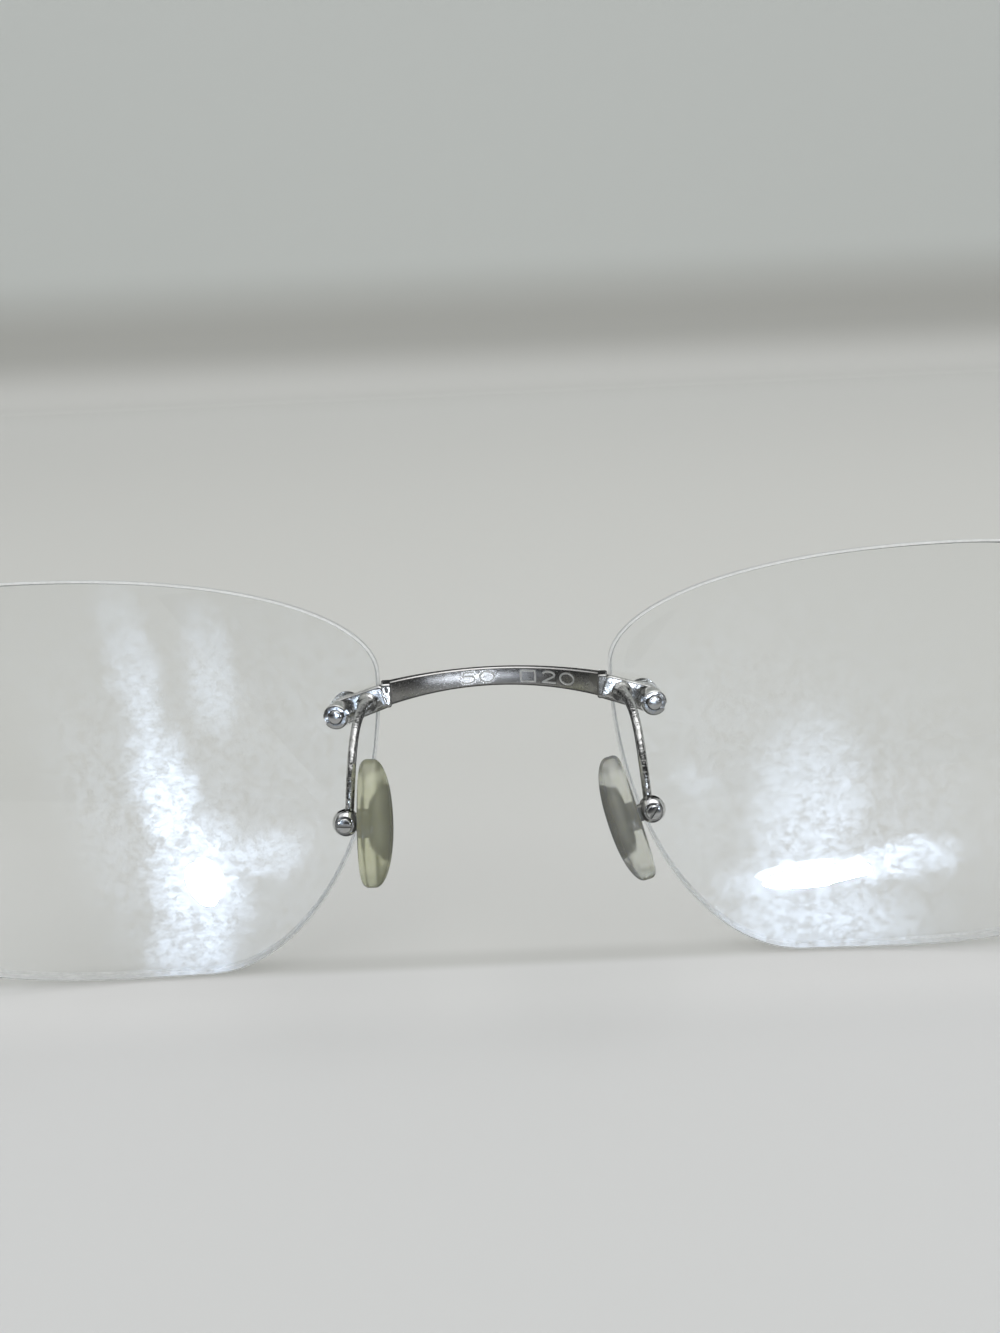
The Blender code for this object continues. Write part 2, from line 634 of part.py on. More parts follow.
def sliced(mesh, point, normal):
    """Cut away what lies beyond a plane and close the cut."""
    shape = bmesh.new()
    shape.from_mesh(mesh)
    geometry = shape.verts[:] + shape.edges[:] + shape.faces[:]
    cut = bmesh.ops.bisect_plane(shape, geom=geometry, plane_co=point, plane_no=normal, clear_outer=True)
    edges = [e for e in cut["geom_cut"] if isinstance(e, bmesh.types.BMEdge)]
    bmesh.ops.contextual_create(shape, geom=edges)
    bmesh.ops.recalc_face_normals(shape, faces=shape.faces)
    shape.to_mesh(mesh)
    shape.free()
    return mesh


def make_pad_box(name, frame, side):
    """Ball with two flats that let the pad rock, a seat for the screw head, a slot and a bore.

    In its frame Y is the screw's axis and the pad lies inboard, which is X turned by the side.
    """
    ball = ball_mesh(BALL_RADIUS)
    for rock in (-PAD_ROCK_LIMIT, PAD_ROCK_LIMIT):
        inward = Vector((-side * cos(rock), 0, sin(rock)))
        ball = sliced(ball, inward * BOX_FLAT_DISTANCE, inward)
    ball = sliced(ball, (0, -BOX_HEAD_FLAT_DISTANCE, 0), (0, -1, 0))
    box = piece(name, ball, METAL, frame)
    half = LUG_THICKNESS / 2 + RUNNING_GAP
    back = side * (LUG_RADIUS + RUNNING_GAP)
    inner = -side * BALL_DIAMETER
    slot = block((min(back, inner), -half, -BALL_DIAMETER), (max(back, inner), half, BALL_DIAMETER))
    boolean(box, slot, 'DIFFERENCE')
    bore = rod(PAD_SCREW_DIAMETER / 2 + BORE_GAP, -BALL_DIAMETER, BALL_DIAMETER, 12)
    boolean(box, bore, 'DIFFERENCE', Matrix.Rotation(pi / 2, 4, 'X'))


def make_pad_screw(name, frame, turn):
    """Slotted screw through the pad box, its head towards the wearer."""
    seat = BOX_HEAD_FLAT_DISTANCE + SEAT_GAP
    end = BALL_RADIUS - PAD_SCREW_SLOT_DEPTH
    top = seat + PAD_SCREW_HEAD_HEIGHT
    radius = PAD_SCREW_DIAMETER / 2
    head = PAD_SCREW_HEAD_DIAMETER / 2
    edge = PAD_SCREW_HEAD_HEIGHT / 3
    profile = [(0.0, -end), (radius, -end), (radius, seat), (head, seat), (head, top - edge),
               (head - edge, top), (0.0, top)]
    toward_wearer = Matrix.Rotation(pi / 2, 4, 'X')
    screw = piece(name, lathe(profile, 12), METAL, frame, toward_wearer)
    slot = block((-BALL_DIAMETER, -PAD_SCREW_SLOT_WIDTH / 2, top - PAD_SCREW_SLOT_DEPTH),
                 (BALL_DIAMETER, PAD_SCREW_SLOT_WIDTH / 2, top + PAD_SCREW_SLOT_DEPTH))
    boolean(screw, slot, 'DIFFERENCE', Matrix.Rotation(turn, 4, 'Z'))


def stack(sections, side):
    """Solid along the pad's thickness through (distance, half width, half length) sections."""
    rings = []
    for distance, half_width, half_length in sections:
        flat = rounded_rectangle(half_width, half_length, min(half_width, half_length) * CORE_CORNER_SHARE)
        rings.append(np.stack([np.full(len(flat), -side * distance), flat[:, 0], flat[:, 1]], axis=1))
    return loft(rings)


def core_sections(grow):
    """Back plate, neck and core plate of a pad's metal core, grown on every side for the pad's pocket."""
    back = PAD_STANDOFF
    neck = back + CORE_BACK_THICKNESS
    plate = neck + CORE_NECK_THICKNESS
    end = plate + CORE_PLATE_THICKNESS
    widths = [(CORE_BACK_WIDTH / 2 + grow, CORE_BACK_LENGTH / 2 + grow),
              (CORE_NECK_WIDTH / 2 + grow, CORE_NECK_LENGTH / 2 + grow),
              (CORE_PLATE_WIDTH / 2 + grow, CORE_PLATE_LENGTH / 2 + grow)]
    return [(back - grow, *widths[0]), (neck + grow, *widths[0]), (neck + grow, *widths[1]),
            (plate - grow, *widths[1]), (plate - grow, *widths[2]), (end + grow, *widths[2])]


def make_pad_core(name, frame, side):
    """Metal core of a nose pad: a round-ended lug with a bore, a back plate, a neck and a core plate."""
    lug = []
    for step in range(5):
        angle = (1 - step / 4) * pi / 2
        reach = LUG_RADIUS * sin(angle)
        lug.append((-reach, LUG_THICKNESS / 2, max(LUG_RADIUS * cos(angle), LUG_END_HALF_HEIGHT)))
    lug.append((PAD_STANDOFF, LUG_THICKNESS / 2, LUG_RADIUS))
    core = piece(name, stack(lug + core_sections(0.0), side), CORE_METAL, frame)
    bore = rod(PAD_SCREW_DIAMETER / 2 + BORE_GAP, -BALL_DIAMETER, BALL_DIAMETER, 12)
    boolean(core, bore, 'DIFFERENCE', Matrix.Rotation(pi / 2, 4, 'X'))


def pad_profile():
    """Shares of the thickness and of the outline, from the drawn-in back up the wall and over the crown."""
    profile = []
    for step in range(PAD_BACK_STEPS):
        angle = step / PAD_BACK_STEPS * pi / 2
        profile.append((PAD_WALL_START * (1 - cos(angle)), 1 - PAD_BACK_DRAW * (1 - sin(angle))))
    profile.append((PAD_WALL_START, 1.0))
    for step in range(PAD_CROWN_STEPS + 1):
        angle = step / PAD_CROWN_STEPS * pi / 2
        profile.append((PAD_WALL_END + (1 - PAD_WALL_END) * sin(angle),
                        abs(cos(angle)) ** (2 / PAD_CROWN_SQUARENESS)))
    return profile


def pad_rings(side):
    """Egg-shaped rings from the pad's flat back to its crowned face."""
    turn = np.arange(PAD_ROUND) * 2 * pi / PAD_ROUND
    egg = 1 - PAD_EGG * np.sin(turn)
    rings = []
    for share, scale in pad_profile():
        rings.append(np.stack([np.full(PAD_ROUND, -side * (PAD_STANDOFF + share * PAD_THICKNESS)),
                               scale * PAD_WIDTH / 2 * np.cos(turn) * egg,
                               scale * PAD_LENGTH / 2 * np.sin(turn) - PAD_DROP], axis=1))
    return rings


def make_nose_pad(name, frame, side):
    """Soft nose pad with a pocket moulded round its core, open at the back."""
    pad = piece(name, loft(pad_rings(side)), SILICONE, frame, sharp=radians(60.0))
    pocket = core_sections(SEAT_GAP)
    pocket[0] = (PAD_STANDOFF - CORE_BACK_THICKNESS, *pocket[0][1:])
    boolean(pad, stack(pocket, side), 'DIFFERENCE')


def make_pad_side(label, side, front):
    """Arm, box, screw, core and pad of one side; the core and the pad hang from the rocking frame."""
    make_pad_arm("pad_arm_" + label, front, side)
    place = Matrix.Translation((side * PAD_PIVOT.x, PAD_PIVOT.y, PAD_PIVOT.z))
    fixed = empty("pad_box_frame_" + label, front, place @ Matrix.Rotation(-side * PAD_FLARE, 4, 'Y'))
    make_pad_box("pad_box_" + label, fixed, side)
    make_pad_screw("pad_screw_" + label, fixed, PAD_SCREW_SLOT_TURN[label])
    rocked = Matrix.Rotation(-side * PAD_ROCK_AT_REST[label], 4, 'Y')
    rocking = empty("pad_rock_" + label, fixed, rocked)
    make_pad_core("pad_core_" + label, rocking, side)
    make_nose_pad("nose_pad_" + label, rocking, side)


# End pieces
def end_piece_mesh():
    """Strip from the outer claw, round the corner and back to the hinge, turning upright on the way."""
    start = np.array(OUTER_CLAW)
    leave = np.array((FRONT @ lens_frame(1)).to_3x3() @ Vector((1, 0, 0)))
    x = HINGE_HALF_SPREAD + STRIP_INNER + END_PIECE_THICKNESS / 2
    corner = np.array((x, LEAF_LENGTH + SEAT_GAP, 0.0))
    end = np.array((x, SEAT_GAP, 0.0))
    curve = bezier(start, start + leave * END_PIECE_START_LEAD,
                   corner + np.array((0.0, END_PIECE_END_LEAD, 0.0)), corner, END_PIECE_STATIONS)
    centres = np.concatenate([curve, [(corner + end) / 2, end]])
    share = np.minimum(np.arange(len(centres)) / (END_PIECE_STATIONS - 1), 1.0)
    share = share ** 2 * (3 - 2 * share)
    tilted = np.array(FRONT.to_3x3() @ Vector((0, 0, 1)))
    ups = tilted + share[:, None] * (np.array((0.0, 0.0, 1.0)) - tilted)
    heights = CLAW_HEIGHT + (END_PIECE_HINGE_HEIGHT - CLAW_HEIGHT) * share
    return sweep(centres, ups, [strip_outline(END_PIECE_THICKNESS, h) for h in heights])


def make_end_piece(name, stand, side):
    """End piece with the outer foot and claw."""
    item = piece(name, mirrored(end_piece_mesh(), side), METAL, stand)
    add_foot(item, TEMPORAL_HOLE, TEMPORAL_CLAW, side, FRONT @ lens_frame(side))


# Hinges
def leaf_mesh(direction):
    """Section of a barrel with its leaf, carried up the hinge; the leaf runs along Y, forward or back."""
    inner = BARREL_RADIUS - LEAF_THICKNESS
    meet = asin(inner / BARREL_RADIUS)
    outline = [(BARREL_RADIUS, 0.0), (BARREL_RADIUS, LEAF_LENGTH), (inner, LEAF_LENGTH)]
    steps = 14
    for step in range(steps):
        angle = pi / 2 - meet + step / steps * (3 * pi / 2 + meet)
        outline.append((BARREL_RADIUS * cos(angle), BARREL_RADIUS * sin(angle)))
    flat = np.array(outline)
    rings = [np.stack([flat[:, 0], flat[:, 1] * direction, np.full(len(flat), z)], axis=1)
             for z in (-HINGE_HEIGHT / 2, HINGE_HEIGHT / 2)]
    return loft(rings)


def make_leaf(name, frame, side, direction, open_knuckles):
    """Hinge leaf: the other leaf's knuckles are cut away, and the pin's bore runs through."""
    leaf = piece(name, mirrored(leaf_mesh(direction), side), METAL, frame)
    pitch = HINGE_HEIGHT / KNUCKLE_COUNT
    for index in open_knuckles:
        low = -HINGE_HEIGHT / 2 + index * pitch - KNUCKLE_GAP / 2
        high = low + pitch + KNUCKLE_GAP
        if index == 0:
            low -= pitch
        if index == KNUCKLE_COUNT - 1:
            high += pitch
        boolean(leaf, rod(BARREL_RADIUS + KNUCKLE_CLEARANCE, low, high, 18), 'DIFFERENCE')
    boolean(leaf, rod(HINGE_SCREW_DIAMETER / 2 + BORE_GAP, -HINGE_HEIGHT, HINGE_HEIGHT, 12), 'DIFFERENCE')


def make_hinge_screw(name, frame):
    """Slotted screw that pins the knuckles, its head on top."""
    radius = HINGE_SCREW_DIAMETER / 2
    head = HINGE_HEAD_DIAMETER / 2
    seat = HINGE_HEIGHT / 2 + SEAT_GAP
    top = seat + HINGE_HEAD_HEIGHT
    edge = HINGE_HEAD_HEIGHT / 3
    profile = [(0.0, -HINGE_HEIGHT / 2), (radius, -HINGE_HEIGHT / 2), (radius, seat), (head, seat),
               (head, top - edge), (head - edge, top), (0.0, top)]
    screw = piece(name, lathe(profile, 12), METAL, frame)
    slot = block((-BARREL_DIAMETER, -HINGE_SLOT_WIDTH / 2, top - HINGE_SLOT_DEPTH),
                 (BARREL_DIAMETER, HINGE_SLOT_WIDTH / 2, top + HINGE_SLOT_DEPTH))
    boolean(screw, slot, 'DIFFERENCE', Matrix.Rotation(HINGE_SLOT_TURN, 4, 'Z'))


# Temples
def temple_path(distances):
    """Centres and up vectors along a temple, in the hinge's frame, at distances from the hinge.

    The path runs straight back, bends down behind the ear on an arc and runs straight on; from the
    curve's start it also draws in towards the head as the square of the distance.
    """
    s = np.asarray(distances, dtype=float)
    arc = np.clip((s - TEMPLE_BEND_START) / TEMPLE_BEND_RADIUS, 0.0, TEMPLE_BEND_ANGLE)
    after = np.maximum(s - TEMPLE_BEND_START - TEMPLE_BEND_RADIUS * TEMPLE_BEND_ANGLE, 0.0)
    y = -np.minimum(s, TEMPLE_BEND_START) - TEMPLE_BEND_RADIUS * np.sin(arc) - after * np.cos(arc)
    z = -TEMPLE_BEND_RADIUS * (1 - np.cos(arc)) - after * np.sin(arc)
    drawn = np.maximum(s - TEMPLE_CURVE_START, 0.0) / (TEMPLE_LENGTH - TEMPLE_CURVE_START)
    x = STRIP_INNER + TEMPLE_THICKNESS / 2 - TEMPLE_CURVE_INWARD * drawn ** 2
    ups = np.stack([np.zeros_like(s), -np.sin(arc), np.cos(arc)], axis=1)
    return np.stack([x, y, z], axis=1), ups


def core_stations():
    """Distances at which both the round core and the tip's bore have their rings, close in the bend."""
    bend_end = TEMPLE_BEND_START + TEMPLE_BEND_RADIUS * TEMPLE_BEND_ANGLE
    start = np.linspace(TEMPLE_FLAT_LENGTH + TEMPLE_BLEND_LENGTH, TEMPLE_BEND_START, 4)
    bend = np.linspace(TEMPLE_BEND_START, bend_end, 7)[1:]
    end = np.linspace(bend_end, TEMPLE_LENGTH - TEMPLE_CORE_SETBACK, 4)[1:]
    return np.concatenate([start, bend, end])


def temple_mesh():
    """Flat strip with a plane outer face that narrows to a round core inside the tip."""
    strip = [SEAT_GAP, TEMPLE_FLAT_LENGTH / 2]
    blend = np.linspace(TEMPLE_FLAT_LENGTH, TEMPLE_FLAT_LENGTH + TEMPLE_BLEND_LENGTH, 5)[:-1]
    distances = np.concatenate([strip, blend, core_stations()])
    centres, ups = temple_path(distances)
    outlines = []
    radius = TEMPLE_CORE_DIAMETER / 2
    for s in distances:
        along = min(s / TEMPLE_FLAT_LENGTH, 1.0)
        height = END_PIECE_HINGE_HEIGHT + (TEMPLE_REAR_HEIGHT - END_PIECE_HINGE_HEIGHT) * along
        turned = min(max((s - TEMPLE_FLAT_LENGTH) / TEMPLE_BLEND_LENGTH, 0.0), 1.0)
        half_thickness = TEMPLE_THICKNESS / 2 + (radius - TEMPLE_THICKNESS / 2) * turned
        half_height = height / 2 + (radius - height / 2) * turned
        corner = STRIP_CORNER + (radius - STRIP_CORNER) * turned
        outlines.append(rounded_rectangle(half_thickness, half_height, corner))
    return sweep(centres, ups, outlines)


def oval(half_width, half_height, segments=12):
    """Outline of an ellipse."""
    return circle(1.0, 0.0, segments)[:, :2] * (half_width, half_height)


def tip_mesh():
    """Plastic tip: oval sections that swell towards a rounded end."""
    straight = np.linspace(TIP_MOUTH, TEMPLE_LENGTH - TIP_ROUND_LENGTH, 16)
    rounding = TEMPLE_LENGTH - TIP_ROUND_LENGTH * (1 - np.sin(np.linspace(0, pi / 2, 5)[1:]))
    distances = np.concatenate([straight, rounding])
    centres, ups = temple_path(distances)
    outlines = []
    for s in distances:
        share = min((s - TIP_MOUTH) / (TIP_LENGTH - TIP_ROUND_LENGTH), 1.0)
        swell = share ** 2 * (3 - 2 * share)
        past = max((s - (TEMPLE_LENGTH - TIP_ROUND_LENGTH)) / TIP_ROUND_LENGTH, 0.0)
        shrink = sqrt(max(1 - past ** 2, 0.0))
        thickness = TIP_MOUTH_THICKNESS + (TIP_END_THICKNESS - TIP_MOUTH_THICKNESS) * swell
        height = TIP_MOUTH_HEIGHT + (TIP_END_HEIGHT - TIP_MOUTH_HEIGHT) * swell
        outlines.append(oval(thickness / 2 * shrink, height / 2 * shrink))
    return sweep(centres, ups, outlines)


def tip_bore_mesh():
    """Bore that the temple's core fills, open at the mouth."""
    distances = core_stations()
    distances[-1] += SEAT_GAP
    centres, ups = temple_path(distances)
    radius = TEMPLE_CORE_DIAMETER / 2
    grown = rounded_rectangle(radius, radius, radius) * (1 + BORE_GAP / radius)
    return sweep(centres, ups, [grown] * len(distances))


def make_temple_side(label, side, stand):
    """End piece, hinge, temple and tip of one side; what folds hangs from the fold frame."""
    make_end_piece("end_piece_" + label, stand, side)
    place = Matrix.Translation((side * HINGE_HALF_SPREAD, 0, 0))
    hinge = empty("hinge_frame_" + label, stand, place)
    make_leaf("hinge_front_leaf_" + label, hinge, side, 1, (1, 3))
    make_hinge_screw("hinge_screw_" + label, hinge)
    fold = empty("temple_fold_" + label, hinge)
    make_leaf("hinge_temple_leaf_" + label, fold, side, -1, (0, 2, 4))
    piece("temple_" + label, mirrored(temple_mesh(), side), METAL, fold)
    tip = piece("temple_tip_" + label, mirrored(tip_mesh(), side), TIP_PLASTIC, fold, sharp=radians(60.0))
    boolean(tip, mirrored(tip_bore_mesh(), side), 'DIFFERENCE')


# Standing on the table
def standing_pitch():
    """Angle that brings the lens bottoms and the tip ends to one level, found by halving."""
    to_wear = FRONT @ lens_frame(1)
    lens = np.array([to_wear @ Vector(p) for ring in lens_rings() for p in ring])
    tip_points = np.array([v.co for v in tip_mesh().vertices])

    def lowest(points, pitch):
        return (points[:, 2] * cos(pitch) - points[:, 1] * sin(pitch)).min()

    low, high = radians(-20.0), radians(20.0)
    for _ in range(40):
        pitch = (low + high) / 2
        if lowest(lens, pitch) > lowest(tip_points, pitch):
            low = pitch
        else:
            high = pitch
    return (low + high) / 2


def centre_on_ground(stand):
    """Move the whole pair so that the bottom centre of its box is the origin."""
    bpy.context.view_layer.update()
    graph = bpy.context.evaluated_depsgraph_get()
    low = np.full(3, np.inf)
    high = -low
    for item in bpy.context.scene.objects:
        if item.type != 'MESH' or item.hide_render:
            continue
        points = np.array([item.matrix_world @ v.co for v in item.evaluated_get(graph).data.vertices])
        low = np.minimum(low, points.min(axis=0))
        high = np.maximum(high, points.max(axis=0))
    stand.location = (-(low[0] + high[0]) / 2, -(low[1] + high[1]) / 2, -low[2])


def main():
    clear_scene()
    stand = empty("stand", None, Matrix.Rotation(-standing_pitch(), 4, 'X'))
    front = empty("front_frame", stand, FRONT)
    make_bridge(front)
    for label, side in SIDES.items():
        frame = empty("lens_frame_" + label, front, lens_frame(side))
        make_lens("lens_" + label, frame, side)
        for place, (hole, claw) in MOUNTS.items():
            tag = place + "_" + label
            make_mount(tag, empty("mount_frame_" + tag, frame, mount_matrix(hole, claw, side)))
        make_pad_side(label, side, front)
        make_temple_side(label, side, stand)
    centre_on_ground(stand)


main()
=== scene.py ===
"""Looks of the rimless spectacles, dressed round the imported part.

Every piece is drawn again on a finer grid, in the place of its CAD node. The right-hand pieces are worked
out in the frames of the part and mirrored for the left side.

Lengths are in metres. X runs to the wearer's right, Y forward, Z up. Left and right are the wearer's.
"""
import json
from math import asin, cos, pi, radians, sin, sqrt

import bmesh
import bpy
import numpy as np
from mathutils import Matrix, Quaternion, Vector


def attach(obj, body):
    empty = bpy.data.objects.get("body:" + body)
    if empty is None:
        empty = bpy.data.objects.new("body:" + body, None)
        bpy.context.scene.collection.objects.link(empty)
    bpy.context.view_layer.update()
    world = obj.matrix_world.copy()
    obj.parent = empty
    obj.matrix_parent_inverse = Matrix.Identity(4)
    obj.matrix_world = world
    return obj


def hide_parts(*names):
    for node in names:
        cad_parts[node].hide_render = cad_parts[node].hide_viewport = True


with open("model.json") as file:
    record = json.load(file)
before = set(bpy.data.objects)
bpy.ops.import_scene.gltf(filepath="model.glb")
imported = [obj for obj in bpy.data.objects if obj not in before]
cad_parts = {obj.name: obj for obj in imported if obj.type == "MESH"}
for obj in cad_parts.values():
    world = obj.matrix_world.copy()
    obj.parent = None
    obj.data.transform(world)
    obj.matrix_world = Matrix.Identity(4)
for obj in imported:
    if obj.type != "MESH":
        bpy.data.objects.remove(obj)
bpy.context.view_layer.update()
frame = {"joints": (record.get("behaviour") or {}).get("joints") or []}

# Lenses
LENS_WIDTH = 0.0500
LENS_HEIGHT = 0.0360
LENS_SPACING = 0.0200
LENS_THICKNESS = 0.0020
LENS_REAR_RADIUS = 0.1060
LENS_EDGE_BEVEL = 0.0002
LENS_WRAP = radians(6.0)
NASAL_PEAK_HEIGHT = 0.0265
TEMPORAL_PEAK_HEIGHT = 0.0235
TOP_PEAK_INSET = 0.0302
BOTTOM_PEAK_INSET = 0.0167
TOP_NASAL_SQUARENESS = 2.08
BOTTOM_NASAL_SQUARENESS = 1.96
TOP_TEMPORAL_SQUARENESS = 2.15
BOTTOM_TEMPORAL_SQUARENESS = 3.0
OUTLINE_STEPS = 56
FACE_RINGS = 22
EDGE_RINGS = 5

# Mounts
SEAT_GAP = 0.00005
BORE_GAP = 0.00005
HOLE_INSET = 0.0033
NASAL_HOLE_DROP = 0.0013
TEMPORAL_HOLE_DROP = 0.0006
CLAW_WIDTH = 0.0009
CLAW_EDGE_GAP = 0.00007
CLAW_HEIGHT = 0.0021
CLAW_FRONT_STEP = 0.0001
FOOT_WIDTH = 0.0023
FOOT_THICKNESS = 0.0008
FOOT_EDGE_ROUND = 0.0002
FOOT_CORNER = 0.0004
FOOT_END_INSET = 0.0001
SCREW_RADIUS = 0.0006
SCREW_POINT_ROUND = 0.0001
SCREW_HEAD_RADIUS = 0.00115
SCREW_HEAD_RIM = 0.0002
SCREW_HEAD_CROWN = 0.0004
WASHER_RADIUS = 0.0014
WASHER_THICKNESS = 0.00025
BUSHING_WALL = 0.00022
FLANGE_RADIUS = 0.0013
FLANGE_THICKNESS = 0.0002
NUT_RADIUS = 0.0011
NUT_LENGTH = 0.0017
NUT_ROUND = 0.00018
NUT_SLOT_WIDTH = 0.0005
NUT_SLOT_DEPTH = 0.0005

# Bridge
BRIDGE_BELOW_PEAK = 0.0017
BRIDGE_BOW = 0.0034
BRIDGE_RISE = 0.0007
BRIDGE_THICKNESS = 0.0010
BRIDGE_END_HEIGHT = 0.0021
BRIDGE_MIDDLE_HEIGHT = 0.0017
BRIDGE_END_DEPTH = 0.0005
STRIP_CORNER = 0.00022
MARK_HEIGHT = 0.00098
MARK_DIGIT_WIDTH = 0.00130
MARK_STROKE = 0.00017
MARK_DEPTH = 0.00005
MARK_PLACES = (("5", -0.00300), ("0", -0.00130), ("box", 0.00245), ("2", 0.00440), ("0", 0.00610))

# Pad arms, boxes and screws
ARM_ROOT_RADIUS = 0.0006
ARM_WIRE_RADIUS = 0.00037
ARM_ROOT_FROM_EDGE = 0.00085
ARM_TAPER_SHARE = 0.40
SOLDER_SPREAD = 0.0003
SOLDER_REACH = 0.00035
ARM_ROOT_LEAD = 0.0052
ARM_END_LEAD = 0.0050
ARM_LANDING = (-0.30, 0.62, 0.72)
ARM_DESCENT = (-0.10, -0.02, 1.00)
PIVOT_HALF_SPREAD = 0.0122
PIVOT_SETBACK = 0.0090
PIVOT_DROP = 0.0089
BALL_RADIUS = 0.0011
BOX_FLAT_DISTANCE = 0.00088
BOX_HEAD_FLAT_DISTANCE = 0.00082
PAD_SCREW_RADIUS = 0.00033
PAD_SCREW_HEAD_RADIUS = 0.0006
PAD_SCREW_HEAD_HEIGHT = 0.00028
PAD_SCREW_SLOT_WIDTH = 0.00022
PAD_SCREW_SLOT_DEPTH = 0.00014
PAD_SCREW_SLOT_TURN = {"left": radians(4.0), "right": radians(48.0)}

# Nose pads and cores
PAD_FLARE = radians(8.5)
PAD_ROCK_LIMIT = radians(9.0)
PAD_ROCK_AT_REST = {"left": radians(-7.0), "right": radians(7.0)}
PAD_STANDOFF = 0.0012
PAD_THICKNESS = 0.0025
PAD_LENGTH = 0.0104
PAD_WIDTH = 0.0062
PAD_EGG = 0.12
PAD_DROP = 0.0001
PAD_WALL_START = 0.22
PAD_WALL_END = 0.42
PAD_BACK_DRAW = 0.14
PAD_CROWN_SQUARENESS = 2.3
LUG_THICKNESS = 0.0007
LUG_RADIUS = 0.00066
LUG_END_HALF_HEIGHT = 0.00013
RUNNING_GAP = 0.00005
CORE_BACK = (0.00035, 0.0018, 0.0036)
CORE_NECK = (0.00045, 0.0010, 0.0020)
CORE_PLATE = (0.0011, 0.0036, 0.0058)
CORE_CORNER_SHARE = 0.6
CORE_OVERLAP = 0.00002
CORE_SWELL_END = 0.85

# End pieces and hinges
END_PIECE_THICKNESS = 0.0011
END_PIECE_HINGE_HEIGHT = 0.0032
END_PIECE_START_LEAD = 0.0040
END_PIECE_END_LEAD = 0.0045
END_PIECE_DEPTH = 0.0004
BARREL_RADIUS = 0.0010
HINGE_HEIGHT = 0.0034
KNUCKLE_COUNT = 5
KNUCKLE_GAP = 0.00008
KNUCKLE_CLEARANCE = 0.0001
LEAF_THICKNESS = 0.0006
LEAF_LENGTH = 0.0042
HINGE_SCREW_RADIUS = 0.0005
HINGE_HEAD_RADIUS = 0.00085
HINGE_HEAD_HEIGHT = 0.0004
HINGE_SLOT_WIDTH = 0.0003
HINGE_SLOT_DEPTH = 0.0002
HINGE_SLOT_TURN = radians(25.0)

# Temples and tips
TEMPLE_LENGTH = 0.1400
TEMPLE_THICKNESS = 0.0011
TEMPLE_REAR_HEIGHT = 0.0024
TEMPLE_BLEND_LENGTH = 0.0080
TEMPLE_CORE_RADIUS = 0.00065
TEMPLE_CORE_SETBACK = 0.0100
TEMPLE_BEND_START = 0.0920
TEMPLE_BEND_RADIUS = 0.0180
TEMPLE_BEND_ANGLE = radians(45.0)
TEMPLE_CURVE_START = 0.0700
TEMPLE_CURVE_INWARD = 0.0040
TIP_LENGTH = 0.0720
TIP_MOUTH_LEAD = 0.0020
TIP_MOUTH_SIZE = (0.0028, 0.0032)
TIP_END_SIZE = (0.0035, 0.0062)
TIP_ROUND_LENGTH = 0.0032

# Grids: steps round a section, points along a path, and limits
ROUND_STEPS = 40
FINE_STEPS = 48
BALL_STEPS = 56
WIRE_STEPS = 24
TIP_STEPS = 32
PAD_STEPS = 96
CURTAIN_STEPS = 64
ARM_POINTS = 121
BRIDGE_POINTS = 81
END_PIECE_POINTS = 57
MERGE_DISTANCE = 1e-7
CORNER_LIMIT = 0.98

SIDES = {"left": -1, "right": 1}


# Frames, as 4 by 4 arrays
def framed(x_axis, y_axis, z_axis, origin):
    """Frame whose columns are three unit directions and the origin."""
    made = np.eye(4)
    made[:3, :3] = np.stack([x_axis, y_axis, z_axis], axis=1)
    made[:3, 3] = origin
    return made


def shifted(x=0.0, y=0.0, z=0.0):
    """Frame moved along its axes."""
    made = np.eye(4)
    made[:3, 3] = (x, y, z)
    return made


def turned(angle, axis):
    """Frame turned about one of its axes."""
    return np.array(Matrix.Rotation(angle, 4, axis))


def carried(points, place):
    """Points of any array shape, moved by a frame."""
    return points @ place[:3, :3].T + place[:3, 3]


joints = {joint["name"]: joint for joint in frame["joints"]}
hinge_pivot = np.array(joints["temple_right_fold"]["pos_m"])
hinge_axis = np.array(joints["temple_left_fold"]["axis"])
pad_pivot = np.array(joints["pad_right_rock"]["pos_m"])
pad_axis = np.array(joints["pad_right_rock"]["axis"])
ACROSS = np.array((1.0, 0.0, 0.0))
UPRIGHT = np.array((0.0, 0.0, 1.0))

BRIDGE_HEIGHT = NASAL_PEAK_HEIGHT - BRIDGE_BELOW_PEAK
PIVOT_IN_FRONT = np.array((PIVOT_HALF_SPREAD, -PIVOT_SETBACK, BRIDGE_HEIGHT - PIVOT_DROP))
HINGE = framed(ACROSS, np.cross(hinge_axis, ACROSS), hinge_axis, hinge_pivot)
FRONT = framed(ACROSS, pad_axis, np.cross(ACROSS, pad_axis), np.zeros(3))
FRONT[:3, 3] = pad_pivot - carried(PIVOT_IN_FRONT, FRONT)
LENS = FRONT @ shifted(x=LENS_SPACING / 2) @ turned(-LENS_WRAP, 'Z')

